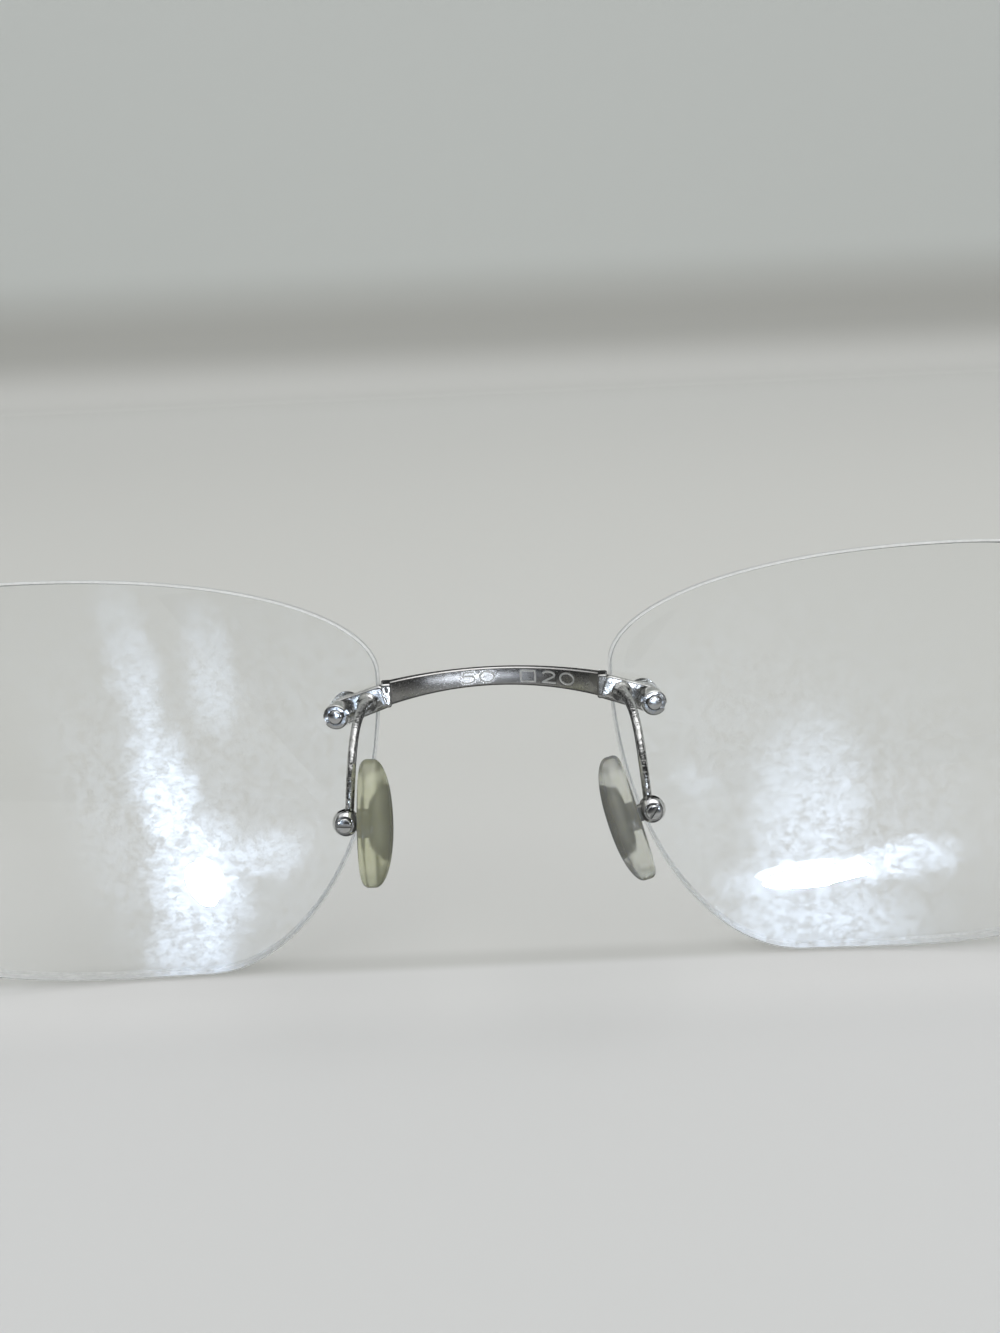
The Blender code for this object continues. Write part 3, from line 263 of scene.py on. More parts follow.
NASAL_HOLE = (HOLE_INSET, BRIDGE_HEIGHT - NASAL_HOLE_DROP)
TEMPORAL_HOLE = (LENS_WIDTH - HOLE_INSET, TEMPORAL_PEAK_HEIGHT - TEMPORAL_HOLE_DROP)
CLAW_MIDDLE = CLAW_EDGE_GAP + CLAW_WIDTH / 2
NASAL_CLAW = (-CLAW_MIDDLE, BRIDGE_HEIGHT)
TEMPORAL_CLAW = (LENS_WIDTH + CLAW_MIDDLE, TEMPORAL_PEAK_HEIGHT)
MOUNTS = {"nasal": (NASAL_HOLE, NASAL_CLAW), "temporal": (TEMPORAL_HOLE, TEMPORAL_CLAW)}
LENS_CENTRE_DEPTH = -sqrt(LENS_REAR_RADIUS ** 2 - (LENS_WIDTH / 2) ** 2)
LENS_CENTRE = np.array((LENS_WIDTH / 2, LENS_CENTRE_DEPTH, LENS_HEIGHT / 2))

# Heights along a mount's axis, from the rear face of the lens
FLANGE_FRONT = -SEAT_GAP
FLANGE_REAR = FLANGE_FRONT - FLANGE_THICKNESS
FOOT_FRONT = FLANGE_REAR - SEAT_GAP
FOOT_REAR = FOOT_FRONT - FOOT_THICKNESS
NUT_FRONT = FOOT_REAR - SEAT_GAP
NUT_REAR = NUT_FRONT - NUT_LENGTH
SCREW_POINT = NUT_REAR - SCREW_POINT_ROUND
WASHER_REAR = LENS_THICKNESS + SEAT_GAP
WASHER_FRONT = WASHER_REAR + WASHER_THICKNESS
HEAD_REAR = WASHER_FRONT + SEAT_GAP
SCREW_BORE = SCREW_RADIUS + BORE_GAP
BUSHING_RADIUS = SCREW_BORE + BUSHING_WALL
LENS_HOLE = BUSHING_RADIUS + BORE_GAP
PAD_BORE = PAD_SCREW_RADIUS + BORE_GAP
STRIP_INNER = BARREL_RADIUS + SEAT_GAP
TIP_MOUTH = TEMPLE_LENGTH - TIP_LENGTH
TEMPLE_FLAT_LENGTH = TIP_MOUTH - TIP_MOUTH_LEAD - TEMPLE_BLEND_LENGTH


# Meshes from grids of points
def full_turn(count):
    """Angles spaced evenly round a circle."""
    return np.arange(count) * 2 * pi / count


def on_circle(turn):
    """Points (cos, sin) at the given angles."""
    return np.stack([np.cos(turn), np.sin(turn)], axis=-1)


def layered(flat, levels, axis=2):
    """Grid of flat rings, each lifted to its own level along one axis."""
    levels = np.broadcast_to(np.reshape(levels, (-1, 1)), flat.shape[:2])
    parts = [flat[..., 0], flat[..., 1]]
    parts.insert(axis, levels)
    return np.stack(parts, axis=-1)


def mesh_of(name, points, faces):
    """Mesh of an array of points and a list of faces."""
    mesh = bpy.data.meshes.new(name)
    mesh.from_pydata(points.tolist(), [], faces)
    return mesh


def linked(name, data):
    """Object of a mesh, lamp or camera, linked to the scene."""
    item = bpy.data.objects.new(name, data)
    bpy.context.scene.collection.objects.link(item)
    return item


def solid(grid, place, side=1, closed=False):
    """Closed mesh in a frame, through rows of rings, mirrored for the left side.

    Neighbouring points are joined by quads. The end rings are filled, or joined to each other where the
    path is closed, and a ring that shrinks to a point is merged.
    """
    rings, count, _ = grid.shape
    index = np.arange(rings * count).reshape(rings, count)
    lower = index if closed else index[:-1]
    upper = np.roll(index, -1, axis=0) if closed else index[1:]
    quads = np.stack([lower, np.roll(lower, -1, 1), np.roll(upper, -1, 1), upper], axis=-1)
    faces = quads.reshape(-1, 4).tolist()
    if not closed:
        faces += [index[0].tolist(), index[-1].tolist()]
    mesh = mesh_of("shape", carried(grid, place).reshape(-1, 3) * (side, 1.0, 1.0), faces)
    shape = bmesh.new()
    shape.from_mesh(mesh)
    bmesh.ops.remove_doubles(shape, verts=shape.verts, dist=MERGE_DISTANCE)
    bmesh.ops.recalc_face_normals(shape, faces=shape.faces)
    shape.to_mesh(mesh)
    shape.free()
    return mesh


def sliced(mesh, point, normal):
    """Mesh with what lies beyond a plane cut away and the cut closed."""
    shape = bmesh.new()
    shape.from_mesh(mesh)
    geometry = shape.verts[:] + shape.edges[:] + shape.faces[:]
    cut = bmesh.ops.bisect_plane(shape, geom=geometry, plane_co=point, plane_no=normal, clear_outer=True)
    rim = [e for e in cut["geom_cut"] if isinstance(e, bmesh.types.BMEdge)]
    bmesh.ops.contextual_create(shape, geom=rim)
    bmesh.ops.recalc_face_normals(shape, faces=shape.faces)
    shape.to_mesh(mesh)
    shape.free()
    return mesh


def worked(mesh, operation, *tools, crossed=False):
    """Mesh of a solid after it is joined with, or cut by, other solids, which may cross themselves."""
    blank = linked("blank", mesh)
    helpers = [linked("helper", tool) for tool in tools]
    for helper in helpers:
        step = blank.modifiers.new(operation, 'BOOLEAN')
        step.operation = operation
        step.solver = 'EXACT'
        step.use_self = crossed
        step.object = helper
    bpy.context.view_layer.update()
    graph = bpy.context.evaluated_depsgraph_get()
    made = bpy.data.meshes.new_from_object(blank.evaluated_get(graph))
    for helper in [blank] + helpers:
        bpy.data.objects.remove(helper)
    return made


def lathe(profile, place, side=1, segments=ROUND_STEPS, closed=False):
    """Solid of revolution: each (radius, height) point of the profile runs round the frame's Z axis."""
    radius, height = np.array(profile).T
    grid = layered(radius[:, None, None] * on_circle(full_turn(segments)), height)
    return solid(grid, place, side, closed)


def rod(radius, low, high, place, side=1, segments=ROUND_STEPS):
    """Round rod between two heights of a frame."""
    return lathe([(radius, low), (radius, high)], place, side, segments)


def block(low, high, place, side=1):
    """Box between two corners in a frame."""
    corners = np.array([(low[0], low[1]), (high[0], low[1]), (high[0], high[1]), (low[0], high[1])])
    return solid(layered(np.tile(corners, (2, 1, 1)), (low[2], high[2])), place, side)


def slot_bar(reach, width, depth, level, place, side):
    """Bar that cuts a slot of a width and depth into a face at a level of the frame."""
    return block((-reach, -width / 2, level - depth), (reach, width / 2, level + depth), place, side)


def quarter(radius, base, height, reach, steps=6):
    """Profile of a rounded edge: a quarter of an ellipse from the wall in to the top."""
    turn = np.linspace(0.0, pi / 2, steps + 1)
    return list(zip(radius - reach * (1 - np.cos(turn)), base + height * np.sin(turn)))


def slotted_screw(place, side, radius, low, seat, head_radius, head_height, slot):
    """Screw from its end to the seat of its head, whose round-edged top has a slot.

    The slot is given by its half length, width, depth and turn.
    """
    reach, width, depth, turn = slot
    top = seat + head_height
    edge = head_height / 3
    profile = [(0.0, low), (radius, low), (radius, seat), (head_radius, seat)]
    profile += quarter(head_radius, top - edge, edge, edge, 5) + [(0.0, top)]
    return worked(lathe(profile, place, side), 'DIFFERENCE',
                  slot_bar(reach, width, depth, top, place @ turned(turn, 'Z'), side))


def rectangle(half_width, half_height, corner, steps=5):
    """Outlines of rectangles with round corners: each corner is a quarter circle about its own centre.

    The half sizes and the corner may be arrays, one value for each outline.
    """
    half_width, half_height, corner = np.broadcast_arrays(half_width, half_height, corner)
    limit = CORNER_LIMIT * np.minimum(half_width, half_height)
    corner = np.minimum(corner, limit)[..., None]
    turn = (np.arange(4)[:, None] + np.linspace(0.0, 1.0, steps + 1)).ravel() * pi / 2
    sign_x = np.repeat((1, -1, -1, 1), steps + 1)
    sign_y = np.repeat((1, 1, -1, -1), steps + 1)
    return np.stack([sign_x * (half_width[..., None] - corner) + corner * np.cos(turn),
                     sign_y * (half_height[..., None] - corner) + corner * np.sin(turn)], axis=-1)


def swept(centres, ups, outlines):
    """Grid along a path: each outline lies across the path, its second axis along the up direction."""
    along = np.gradient(centres, axis=0)
    along /= np.linalg.norm(along, axis=1)[:, None]
    across = np.cross(along, ups)
    across /= np.linalg.norm(across, axis=1)[:, None]
    upward = np.cross(across, along)
    return centres[:, None] + outlines[..., :1] * across[:, None] + outlines[..., 1:] * upward[:, None]


def bezier(points, count):
    """Points of a cubic curve: each handle weighs in by its Bernstein share."""
    t = np.linspace(0.0, 1.0, count)[:, None]
    shares = ((1 - t) ** 3, 3 * t * (1 - t) ** 2, 3 * t ** 2 * (1 - t), t ** 3)
    return sum(share * np.array(point) for share, point in zip(shares, points))


# Finishes
def fed(tree, socket, value):
    """Input of a node: a socket is linked to it, and anything else is set as its plain value."""
    if isinstance(value, bpy.types.NodeSocket):
        tree.links.new(value, socket)
    else:
        socket.default_value = value


def set_inputs(tree, target, **values):
    """The inputs of a node by name."""
    for label, value in values.items():
        fed(tree, target.inputs[label.replace("_", " ")], value)
    return target


def new_node(tree, kind, *ordered, operation=None, **named):
    """Shader node with its inputs given in order or by name."""
    made = tree.nodes.new("ShaderNode" + kind)
    if operation:
        made.operation = operation
    for socket, value in zip(made.inputs, ordered):
        fed(tree, socket, value)
    return set_inputs(tree, made, **named)


def noise(tree, source, scale, detail, roughness=0.5, output="Fac"):
    """Noise texture read at the given coordinates."""
    return new_node(tree, "TexNoise", Vector=source, Scale=scale, Detail=detail,
                    Roughness=roughness).outputs[output]


def ranged(tree, source, low, high, to_low=0.0, to_high=1.0, smooth=True):
    """Value carried from one range to another and kept inside it."""
    made = new_node(tree, "MapRange", Value=source, From_Min=low, From_Max=high,
                    To_Min=to_low, To_Max=to_high)
    made.interpolation_type = 'SMOOTHSTEP' if smooth else 'LINEAR'
    return made.outputs["Result"]


def flecks(tree, source, scale, detail, roughness, low, high):
    """Noise that is nought below one value and full above another."""
    return ranged(tree, noise(tree, source, scale, detail, roughness), low, high)


def sums(tree, operation, first, second):
    """Arithmetic of two values, each a socket or a number."""
    return new_node(tree, "Math", first, second, operation=operation).outputs[0]


def blended(tree, share, first, second):
    """Colour between two colours."""
    made = tree.nodes.new("ShaderNodeMix")
    made.data_type = 'RGBA'
    fed(tree, made.inputs["Factor"], share)
    for socket, value in zip([s for s in made.inputs if s.type == 'RGBA'], (first, second)):
        fed(tree, socket, (*value, 1.0) if isinstance(value, tuple) else value)
    return next(s for s in made.outputs if s.type == 'RGBA')


def mapped(tree, source, scale=(1.0, 1.0, 1.0), turn=(0.0, 0.0, 0.0), centre=(0.0, 0.0, 0.0)):
    """Coordinates centred on a point, turned and scaled."""
    about_x, about_y, about_z = (Matrix.Rotation(angle, 3, axis) for angle, axis in zip(turn, 'XYZ'))
    offset = -(about_z @ about_y @ about_x @ Vector([c * s for c, s in zip(centre, scale)]))
    return new_node(tree, "Mapping", Vector=source, Location=offset, Rotation=turn, Scale=scale).outputs[0]


def warped(tree, source, scale, reach):
    """Coordinates pushed about by noise, up to half the reach each way."""
    push = new_node(tree, "VectorMath", noise(tree, source, scale, 2.0, output="Color"), (reach,) * 3,
                    source, operation='MULTIPLY_ADD')
    return mapped(tree, push.outputs["Vector"], centre=(reach / 2,) * 3)


def new_group(name, inputs, outputs):
    """Empty shader node group that reads a vector and numbers; returns the tree and its two end nodes."""
    tree = bpy.data.node_groups.new(name, 'ShaderNodeTree')
    tree.interface.new_socket("Vector", in_out='INPUT', socket_type='NodeSocketVector')
    for label, value in inputs.items():
        socket = tree.interface.new_socket(label, in_out='INPUT', socket_type='NodeSocketFloat')
        socket.default_value = value
    for label in outputs:
        tree.interface.new_socket(label, in_out='OUTPUT', socket_type='NodeSocketFloat')
    return tree, tree.nodes.new("NodeGroupInput"), tree.nodes.new("NodeGroupOutput")


# Patterns of noise: scale, except where a material gives it, detail, roughness, and the values where the
# pattern starts and where it is full
FINGER_MARKS = (420.0, 6.0, 0.62, 0.46, 0.66)
SCRATCHES = (420.0, 3.0, 0.55, 0.62, 0.72)
SCRATCH_WAYS = (((0.3, 0.2, 0.9), 14.0), ((-0.5, 1.1, 0.2), 18.0))
SCRATCH_ROUGHNESS = 0.10
SCRATCH_DEPTH = 0.35
CLOUD = (4.0, 0.5, 0.42, 0.68)
SPECKS = (4.0, 0.5, 0.45, 0.70)
CLOUD_LEFT_BY_SPECKS = 0.45


def make_fine_wear():
    """Polished metal that has been handled: soft waves, fine scratches both ways and dull finger marks."""
    tree, given, result = new_group(
        "fine_wear", {"Polish": 0.12, "Dull": 0.35, "Scratch": 1.0, "Wave Scale": 900.0},
        ("Roughness", "Height", "Mark"))
    place = given.outputs["Vector"]
    waves = noise(tree, place, given.outputs["Wave Scale"], 2.0)
    marks = flecks(tree, place, *FINGER_MARKS)
    lined = (mapped(tree, place, (1.0, stretch, stretch), turn) for turn, stretch in SCRATCH_WAYS)
    scratch = sums(tree, 'MAXIMUM', *(flecks(tree, way, *SCRATCHES) for way in lined))
    scratch = sums(tree, 'MULTIPLY', scratch, given.outputs["Scratch"])
    rough = ranged(tree, marks, 0.0, 1.0, given.outputs["Polish"], given.outputs["Dull"])
    rough = sums(tree, 'ADD', rough, sums(tree, 'MULTIPLY', scratch, SCRATCH_ROUGHNESS))
    height = sums(tree, 'SUBTRACT', waves, sums(tree, 'MULTIPLY', scratch, SCRATCH_DEPTH))
    set_inputs(tree, result, Roughness=rough, Height=height, Mark=marks)
    return tree


def make_grime():
    """Thin film that gathers in patches: a broad cloud broken by fine specks."""
    tree, given, result = new_group(
        "grime", {"Cloud Scale": 260.0, "Speck Scale": 2600.0}, ("Mask", "Speck"))
    place = given.outputs["Vector"]
    broad = flecks(tree, place, given.outputs["Cloud Scale"], *CLOUD)
    fine = flecks(tree, place, given.outputs["Speck Scale"], *SPECKS)
    mask = sums(tree, 'MULTIPLY', broad, ranged(tree, fine, 0.0, 1.0, CLOUD_LEFT_BY_SPECKS, 1.0))
    set_inputs(tree, result, Mask=mask, Speck=fine)
    return tree


FINE_WEAR = make_fine_wear()
GRIME = make_grime()


def new_finish(name, slot, colour, **values):
    """Material with a Principled shader whose plain values are set on its own sockets; the slot is not
    used.
    """
    made = bpy.data.materials.new(name)
    made.use_nodes = True
    tree = made.node_tree
    shader = set_inputs(tree, tree.nodes["Principled BSDF"], Base_Color=(*colour, 1.0), **values)
    return made, tree, shader


def object_place(tree):
    """Object coordinates of the surface."""
    return tree.nodes.new("ShaderNodeTexCoord").outputs["Object"]


def worn(tree, group, **values):
    """Outputs of a node group put into a material with its own values."""
    made = tree.nodes.new("ShaderNodeGroup")
    made.node_tree = group
    return set_inputs(tree, made, Vector=object_place(tree), **values).outputs


def bumped(tree, height, distance):
    """Normal of a surface with a pattern of bumps."""
    return new_node(tree, "Bump", Distance=distance, Height=height).outputs["Normal"]


def metal_finish(name, slot, colour, dull_colour, polish, dull, scratch, wave, wave_scale=900.0):
    """Polished metal with handling wear."""
    made, tree, shader = new_finish(name, slot, colour, Metallic=1.0, Roughness=polish)
    wear = worn(tree, FINE_WEAR, Polish=polish, Dull=dull, Scratch=scratch, Wave_Scale=wave_scale)
    set_inputs(tree, shader, Roughness=wear["Roughness"], Normal=bumped(tree, wear["Height"], wave),
               Base_Color=blended(tree, wear["Mark"], colour, dull_colour))
    return made


# Metals: name, slot, colour, colour where dull, roughness where polished and where dull, scratches,
# height of the waves and, where it isn't the usual one, their scale
METALS = (
    ("polished_steel", "polished_metal", (0.66, 0.66, 0.66), (0.55, 0.55, 0.53), 0.08, 0.20, 1.0, 6e-6),
    ("satin_steel", "polished_metal", (0.50, 0.495, 0.485), (0.42, 0.41, 0.39), 0.22, 0.30, 1.0, 3e-6),
    ("worn_wire_steel", "polished_metal", (0.60, 0.60, 0.59), (0.42, 0.42, 0.40), 0.10, 0.28, 1.0, 9e-5,
     2300.0),
    ("soldered_steel", "polished_metal", (0.60, 0.60, 0.59), (0.38, 0.38, 0.36), 0.12, 0.30, 1.0, 3e-5,
     1500.0),
    ("pad_core_steel", "pad_core_metal", (0.25, 0.25, 0.235), (0.20, 0.20, 0.185), 0.50, 0.58, 0.0, 1e-6),
    ("engraved_mark", "polished_metal", (0.85, 0.85, 0.83), (0.76, 0.76, 0.74), 0.60, 0.75, 0.0, 4e-6))
POLISHED, SATIN, WORN_WIRE, SOLDERED, CORE_METAL, ENGRAVED = [metal_finish(*row) for row in METALS]

# Smears: middle x and z, half width, half height, turn about Y, strength
SMEARS = (
    (-0.0317, 0.0276, 0.0027, 0.0105, radians(8.0), 0.95),
    (-0.0298, 0.0165, 0.0034, 0.0100, radians(13.0), 0.85),
    (-0.0273, 0.0080, 0.0058, 0.0085, radians(5.0), 0.85),
    (-0.0281, 0.0016, 0.0055, 0.0062, 0.0, 0.95),
    (-0.0213, 0.0104, 0.0056, 0.0026, radians(8.0), 0.60),
    (-0.0252, 0.0274, 0.0030, 0.0078, radians(5.0), 0.62),
    (0.0266, 0.0064, 0.0095, 0.0023, radians(4.0), 0.85),
    (0.0350, 0.0078, 0.0085, 0.0021, radians(10.0), 0.90),
    (0.0275, 0.0132, 0.0066, 0.0110, radians(-10.0), 0.42),
    (0.0275, 0.0022, 0.0130, 0.0046, 0.0, 0.60),
    (0.0178, 0.0150, 0.0030, 0.0022, radians(-20.0), 0.25))
SMEAR_FULL = 0.35
FRAYED = (600.0, 0.0028)
WAVERING = (900.0, 0.0010)
WIPED = {"scale": (0.30, 0.0, 1.0), "turn": (0.0, radians(-4.0), 0.0)}
WIPE_LINES = (2600.0, 5.0, 0.65, 0.38, 0.64)
SCALES = (1050.0, 6.0, 0.7, 0.36, 0.64)
TEXTURE_RANGE = (0.15, 1.75, 0.30, 1.25)
THIN_FILM = 0.20
FILM_ROUGHNESS = 0.20
EDGE_GRAIN = (2600.0, 3.0, 0.5, 0.35, 0.65)


def span_from(tree, place, x, z, half_width, half_height, turn):
    """Distance from a point of the front, seen from behind, in turned half widths and half heights."""
    centred = mapped(tree, place, centre=(x, 0.0, z), turn=(0.0, turn, 0.0))
    centred = mapped(tree, centred, scale=(1 / half_width, 0.0, 1 / half_height))
    return new_node(tree, "VectorMath", centred, operation='LENGTH').outputs["Value"]


def make_glass():
    """Clear lens under a wiped film: a thin rough coat in smears, broken into scales and fine lines."""
    made, tree, shader = new_finish("lens_glass", "clear_lens", (0.985, 0.99, 0.985), Roughness=0.0,
                                    IOR=1.5, Transmission_Weight=1.0, Coat_Roughness=FILM_ROUGHNESS)
    place = object_place(tree)
    frayed = warped(tree, place, *FRAYED)
    smear = 0.0
    for *spot, strength in SMEARS:
        far = span_from(tree, frayed, *spot)
        smear = sums(tree, 'MAXIMUM', smear, ranged(tree, far, SMEAR_FULL, 1.0, strength, 0.0))
    lines = flecks(tree, mapped(tree, warped(tree, place, *WAVERING), **WIPED), *WIPE_LINES)
    scales = flecks(tree, frayed, *SCALES)
    texture = ranged(tree, sums(tree, 'ADD', lines, scales), *TEXTURE_RANGE, smooth=False)
    film = sums(tree, 'MULTIPLY', smear, texture)
    film = sums(tree, 'ADD', film, sums(tree, 'MULTIPLY', scales, THIN_FILM))
    set_inputs(tree, shader, Coat_Weight=film)
    return made


def make_ground_glass():
    """Frosted edge of a lens."""
    made, tree, shader = new_finish("ground_glass", "clear_lens", (0.74, 0.75, 0.74), Roughness=0.55,
                                    IOR=1.5, Transmission_Weight=0.45, Specular_IOR_Level=0.2)
    grain = flecks(tree, object_place(tree), *EDGE_GRAIN)
    set_inputs(tree, shader, Base_Color=blended(tree, grain, (0.70, 0.71, 0.70), (0.78, 0.79, 0.78)))
    return made


def make_silicone(name, colour, aged_colour, cloudy):
    """Soft pad that has yellowed and clouded in broad patches and lets light through."""
    made, tree, shader = new_finish(name, "aged_silicone", colour, Roughness=0.22, IOR=1.41,
                                    Transmission_Weight=cloudy, Subsurface_Weight=1.0,
                                    Subsurface_Radius=(1.0, 0.95, 0.75), Subsurface_Scale=0.0010)
    grime = worn(tree, GRIME, Cloud_Scale=150.0, Speck_Scale=240.0)
    set_inputs(tree, shader, Base_Color=blended(tree, grime["Mask"], colour, aged_colour),
               Roughness=ranged(tree, grime["Speck"], 0.0, 1.0, 0.16, 0.26))
    return made


def make_nylon():
    """Clear nylon of the bushings, a little cloudy."""
    made, tree, shader = new_finish("bushing_nylon", "clear_nylon", (0.90, 0.91, 0.89), Roughness=0.25,
                                    IOR=1.5, Transmission_Weight=0.7)
    grime = worn(tree, GRIME, Cloud_Scale=900.0, Speck_Scale=5000.0)
    set_inputs(tree, shader, Roughness=ranged(tree, grime["Mask"], 0.0, 1.0, 0.18, 0.40))
    return made


def make_tip_plastic():
    """Smoke-tinted plastic of the tips, glossy with a few dull patches."""
    made, tree, shader = new_finish("tip_smoke", "tip_plastic", (0.30, 0.29, 0.27), Roughness=0.12,
                                    IOR=1.49, Transmission_Weight=0.55)
    grime = worn(tree, GRIME, Cloud_Scale=90.0, Speck_Scale=1400.0)
    set_inputs(tree, shader, Roughness=ranged(tree, grime["Mask"], 0.0, 1.0, 0.08, 0.30),
               Base_Color=blended(tree, grime["Mask"], (0.31, 0.30, 0.28), (0.26, 0.25, 0.23)),
               Normal=bumped(tree, grime["Speck"], 0.000003))
    return made


GLASS = make_glass()
GROUND_GLASS = make_ground_glass()
SILICONE = {"left": make_silicone("silicone_left", (0.76, 0.77, 0.60), (0.69, 0.70, 0.49), 0.84),
            "right": make_silicone("silicone_right", (0.82, 0.83, 0.78), (0.76, 0.77, 0.68), 0.88)}
NYLON = make_nylon()
TIP_PLASTIC = make_tip_plastic()


def piece(node, ending, mesh, finish, body="front", sharp=30.0):
    """A finished piece, named after its CAD node: it rides on its body and stands for the node."""
    mesh.name = name = node + "_" + ending
    item = linked(name, mesh)
    mesh.materials.clear()
    mesh.materials.append(finish)
    mesh.shade_smooth()
    mesh.set_sharp_from_angle(angle=radians(sharp))
    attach(item, body)
    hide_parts(node)
    return item


def face_middles(mesh, place, side=1):
    """Middles of a mesh's faces, seen in a frame of the right side."""
    middles = np.empty(len(mesh.polygons) * 3)
    mesh.polygons.foreach_get("center", middles)
    return carried(middles.reshape(-1, 3) * (side, 1.0, 1.0), np.linalg.inv(place))


def add_finishes(mesh, index, *finishes):
    """Further finishes of a piece, and which one each face takes."""
    for finish in finishes:
        mesh.materials.append(finish)
    mesh.polygons.foreach_set("material_index", index)


# Lenses
def lens_outline():
    """Closed outline in (u, v): four superellipse quarters between the box's four touching points.

    In each quarter the point is the middle plus the reach times cos to the power 2 over the squareness,
    and the level plus the rise times sin to the same power.
    """
    quarters = ((LENS_WIDTH - TOP_PEAK_INSET, LENS_HEIGHT - TEMPORAL_PEAK_HEIGHT, TOP_PEAK_INSET,
                 TEMPORAL_PEAK_HEIGHT, TOP_TEMPORAL_SQUARENESS),
                (-TOP_PEAK_INSET, LENS_HEIGHT - NASAL_PEAK_HEIGHT, TOP_PEAK_INSET,
                 NASAL_PEAK_HEIGHT, TOP_NASAL_SQUARENESS),
                (-BOTTOM_PEAK_INSET, -NASAL_PEAK_HEIGHT, BOTTOM_PEAK_INSET,
                 NASAL_PEAK_HEIGHT, BOTTOM_NASAL_SQUARENESS),
                (LENS_WIDTH - BOTTOM_PEAK_INSET, -TEMPORAL_PEAK_HEIGHT, BOTTOM_PEAK_INSET,
                 TEMPORAL_PEAK_HEIGHT, BOTTOM_TEMPORAL_SQUARENESS))
    reach, rise, middle, level, squareness = np.array(quarters).T[..., None]
    turn = np.arange(OUTLINE_STEPS) / OUTLINE_STEPS * pi / 2
    turns = np.stack([turn, pi / 2 - turn, turn, pi / 2 - turn])
    u = middle + reach * np.cos(turns) ** (2 / squareness)
    v = level + rise * np.sin(turns) ** (2 / squareness)
    return np.stack([u, v], axis=-1).reshape(-1, 2)


def sphere_depth(u, v, radius):
    """Depth of a lens face at (u, v): a sphere about the centre that both faces share."""
    return np.sqrt(radius ** 2 - (u - LENS_WIDTH / 2) ** 2 - (v - LENS_HEIGHT / 2) ** 2) + LENS_CENTRE_DEPTH


def lens_grid():
    """Rings from the middle of the rear face out to the bevel, across the edge and back over the front."""
    outline = lens_outline()
    middle = np.array((LENS_WIDTH, LENS_HEIGHT)) / 2
    span = outline - middle
    distance = np.linalg.norm(span, axis=1)[:, None]
    inner = span * (1 - LENS_EDGE_BEVEL / distance)
    flats = middle + inner * np.linspace(0.0, 1.0, FACE_RINGS)[:, None, None]
    front_radius = LENS_REAR_RADIUS + LENS_THICKNESS

    def face(flat, radius):
        u, v = flat[..., 0], flat[..., 1]
        return np.stack([u, sphere_depth(u, v, radius), v], axis=-1)

    start = face(outline, LENS_REAR_RADIUS) + (0.0, LENS_EDGE_BEVEL, 0.0)
    end = face(outline, front_radius) - (0.0, LENS_EDGE_BEVEL, 0.0)
    edge = start + (end - start) * np.linspace(0.0, 1.0, EDGE_RINGS)[:, None, None]
    return np.concatenate([face(flats, LENS_REAR_RADIUS), edge, face(flats[::-1], front_radius)])


def mount_frame(hole, claw):
    """Frame of a mount within the world, right side: Z forward along the screw, X towards the claw."""
    u, v = hole
    point = np.array([u, sphere_depth(u, v, LENS_REAR_RADIUS), v])
    normal = (point - LENS_CENTRE) / LENS_REAR_RADIUS
    toward = np.array([claw[0] - u, 0.0, claw[1] - v])
    toward -= normal * (toward @ normal)
    reach = np.linalg.norm(toward)
    toward /= reach
    return LENS @ framed(toward, np.cross(normal, toward), normal, point), reach


MOUNT_FRAMES = {place: mount_frame(*pair) for place, pair in MOUNTS.items()}


def ground_faces(mesh, side):
    """Material index of each face: one on the ground edge, bevels and holes, nought on both faces."""
    height = np.linalg.norm(face_middles(mesh, LENS, side) - LENS_CENTRE, axis=1) - LENS_REAR_RADIUS
    return (np.minimum(height, LENS_THICKNESS - height) > LENS_EDGE_BEVEL / 5).astype(np.int32)


def make_lens(label, side):
    """Drilled lens with spherical faces and a bevelled edge."""
    drills = [rod(LENS_HOLE, -LENS_THICKNESS, 2 * LENS_THICKNESS, place, side, FINE_STEPS)
              for place, _ in MOUNT_FRAMES.values()]
    mesh = worked(solid(lens_grid(), LENS, side), 'DIFFERENCE', *drills)
    ground = ground_faces(mesh, side)
    lens = piece("lens_" + label, "glass", mesh, GLASS)
    add_finishes(mesh, ground, GROUND_GLASS)
    lens.visible_shadow = False


# Lens mounts
def foot_grid(reach):
    """Flat foot in the mount's frame: round about the hole, narrowing to a square end inside the claw.

    Each ring is the outline drawn in by an inset that grows round the rear edge as one minus the cosine.
    """
    turn = np.linspace(0.0, pi / 2, 7)
    inset = np.concatenate([[0.0], FOOT_EDGE_ROUND * (1 - np.cos(turn))])[:, None]
    height = np.concatenate([[FOOT_FRONT], FOOT_REAR + FOOT_EDGE_ROUND * (1 - np.sin(turn))])
    radius = FOOT_WIDTH / 2 - inset
    back = np.linspace(pi / 2, 3 * pi / 2, 33)
    corner = FOOT_CORNER - inset
    lower = np.linspace(-pi / 2, 0.0, 7)
    end = reach + CLAW_WIDTH / 2 - FOOT_END_INSET - FOOT_CORNER
    middle = CLAW_HEIGHT / 2 - FOOT_CORNER
    x = [radius * np.cos(back), end + corner * np.cos(lower), end + corner * np.cos(lower + pi / 2)]
    y = [radius * np.sin(back), corner * np.sin(lower) - middle, corner * np.sin(lower + pi / 2) + middle]
    return layered(np.stack([np.concatenate(x, axis=1), np.concatenate(y, axis=1)], axis=-1), height)


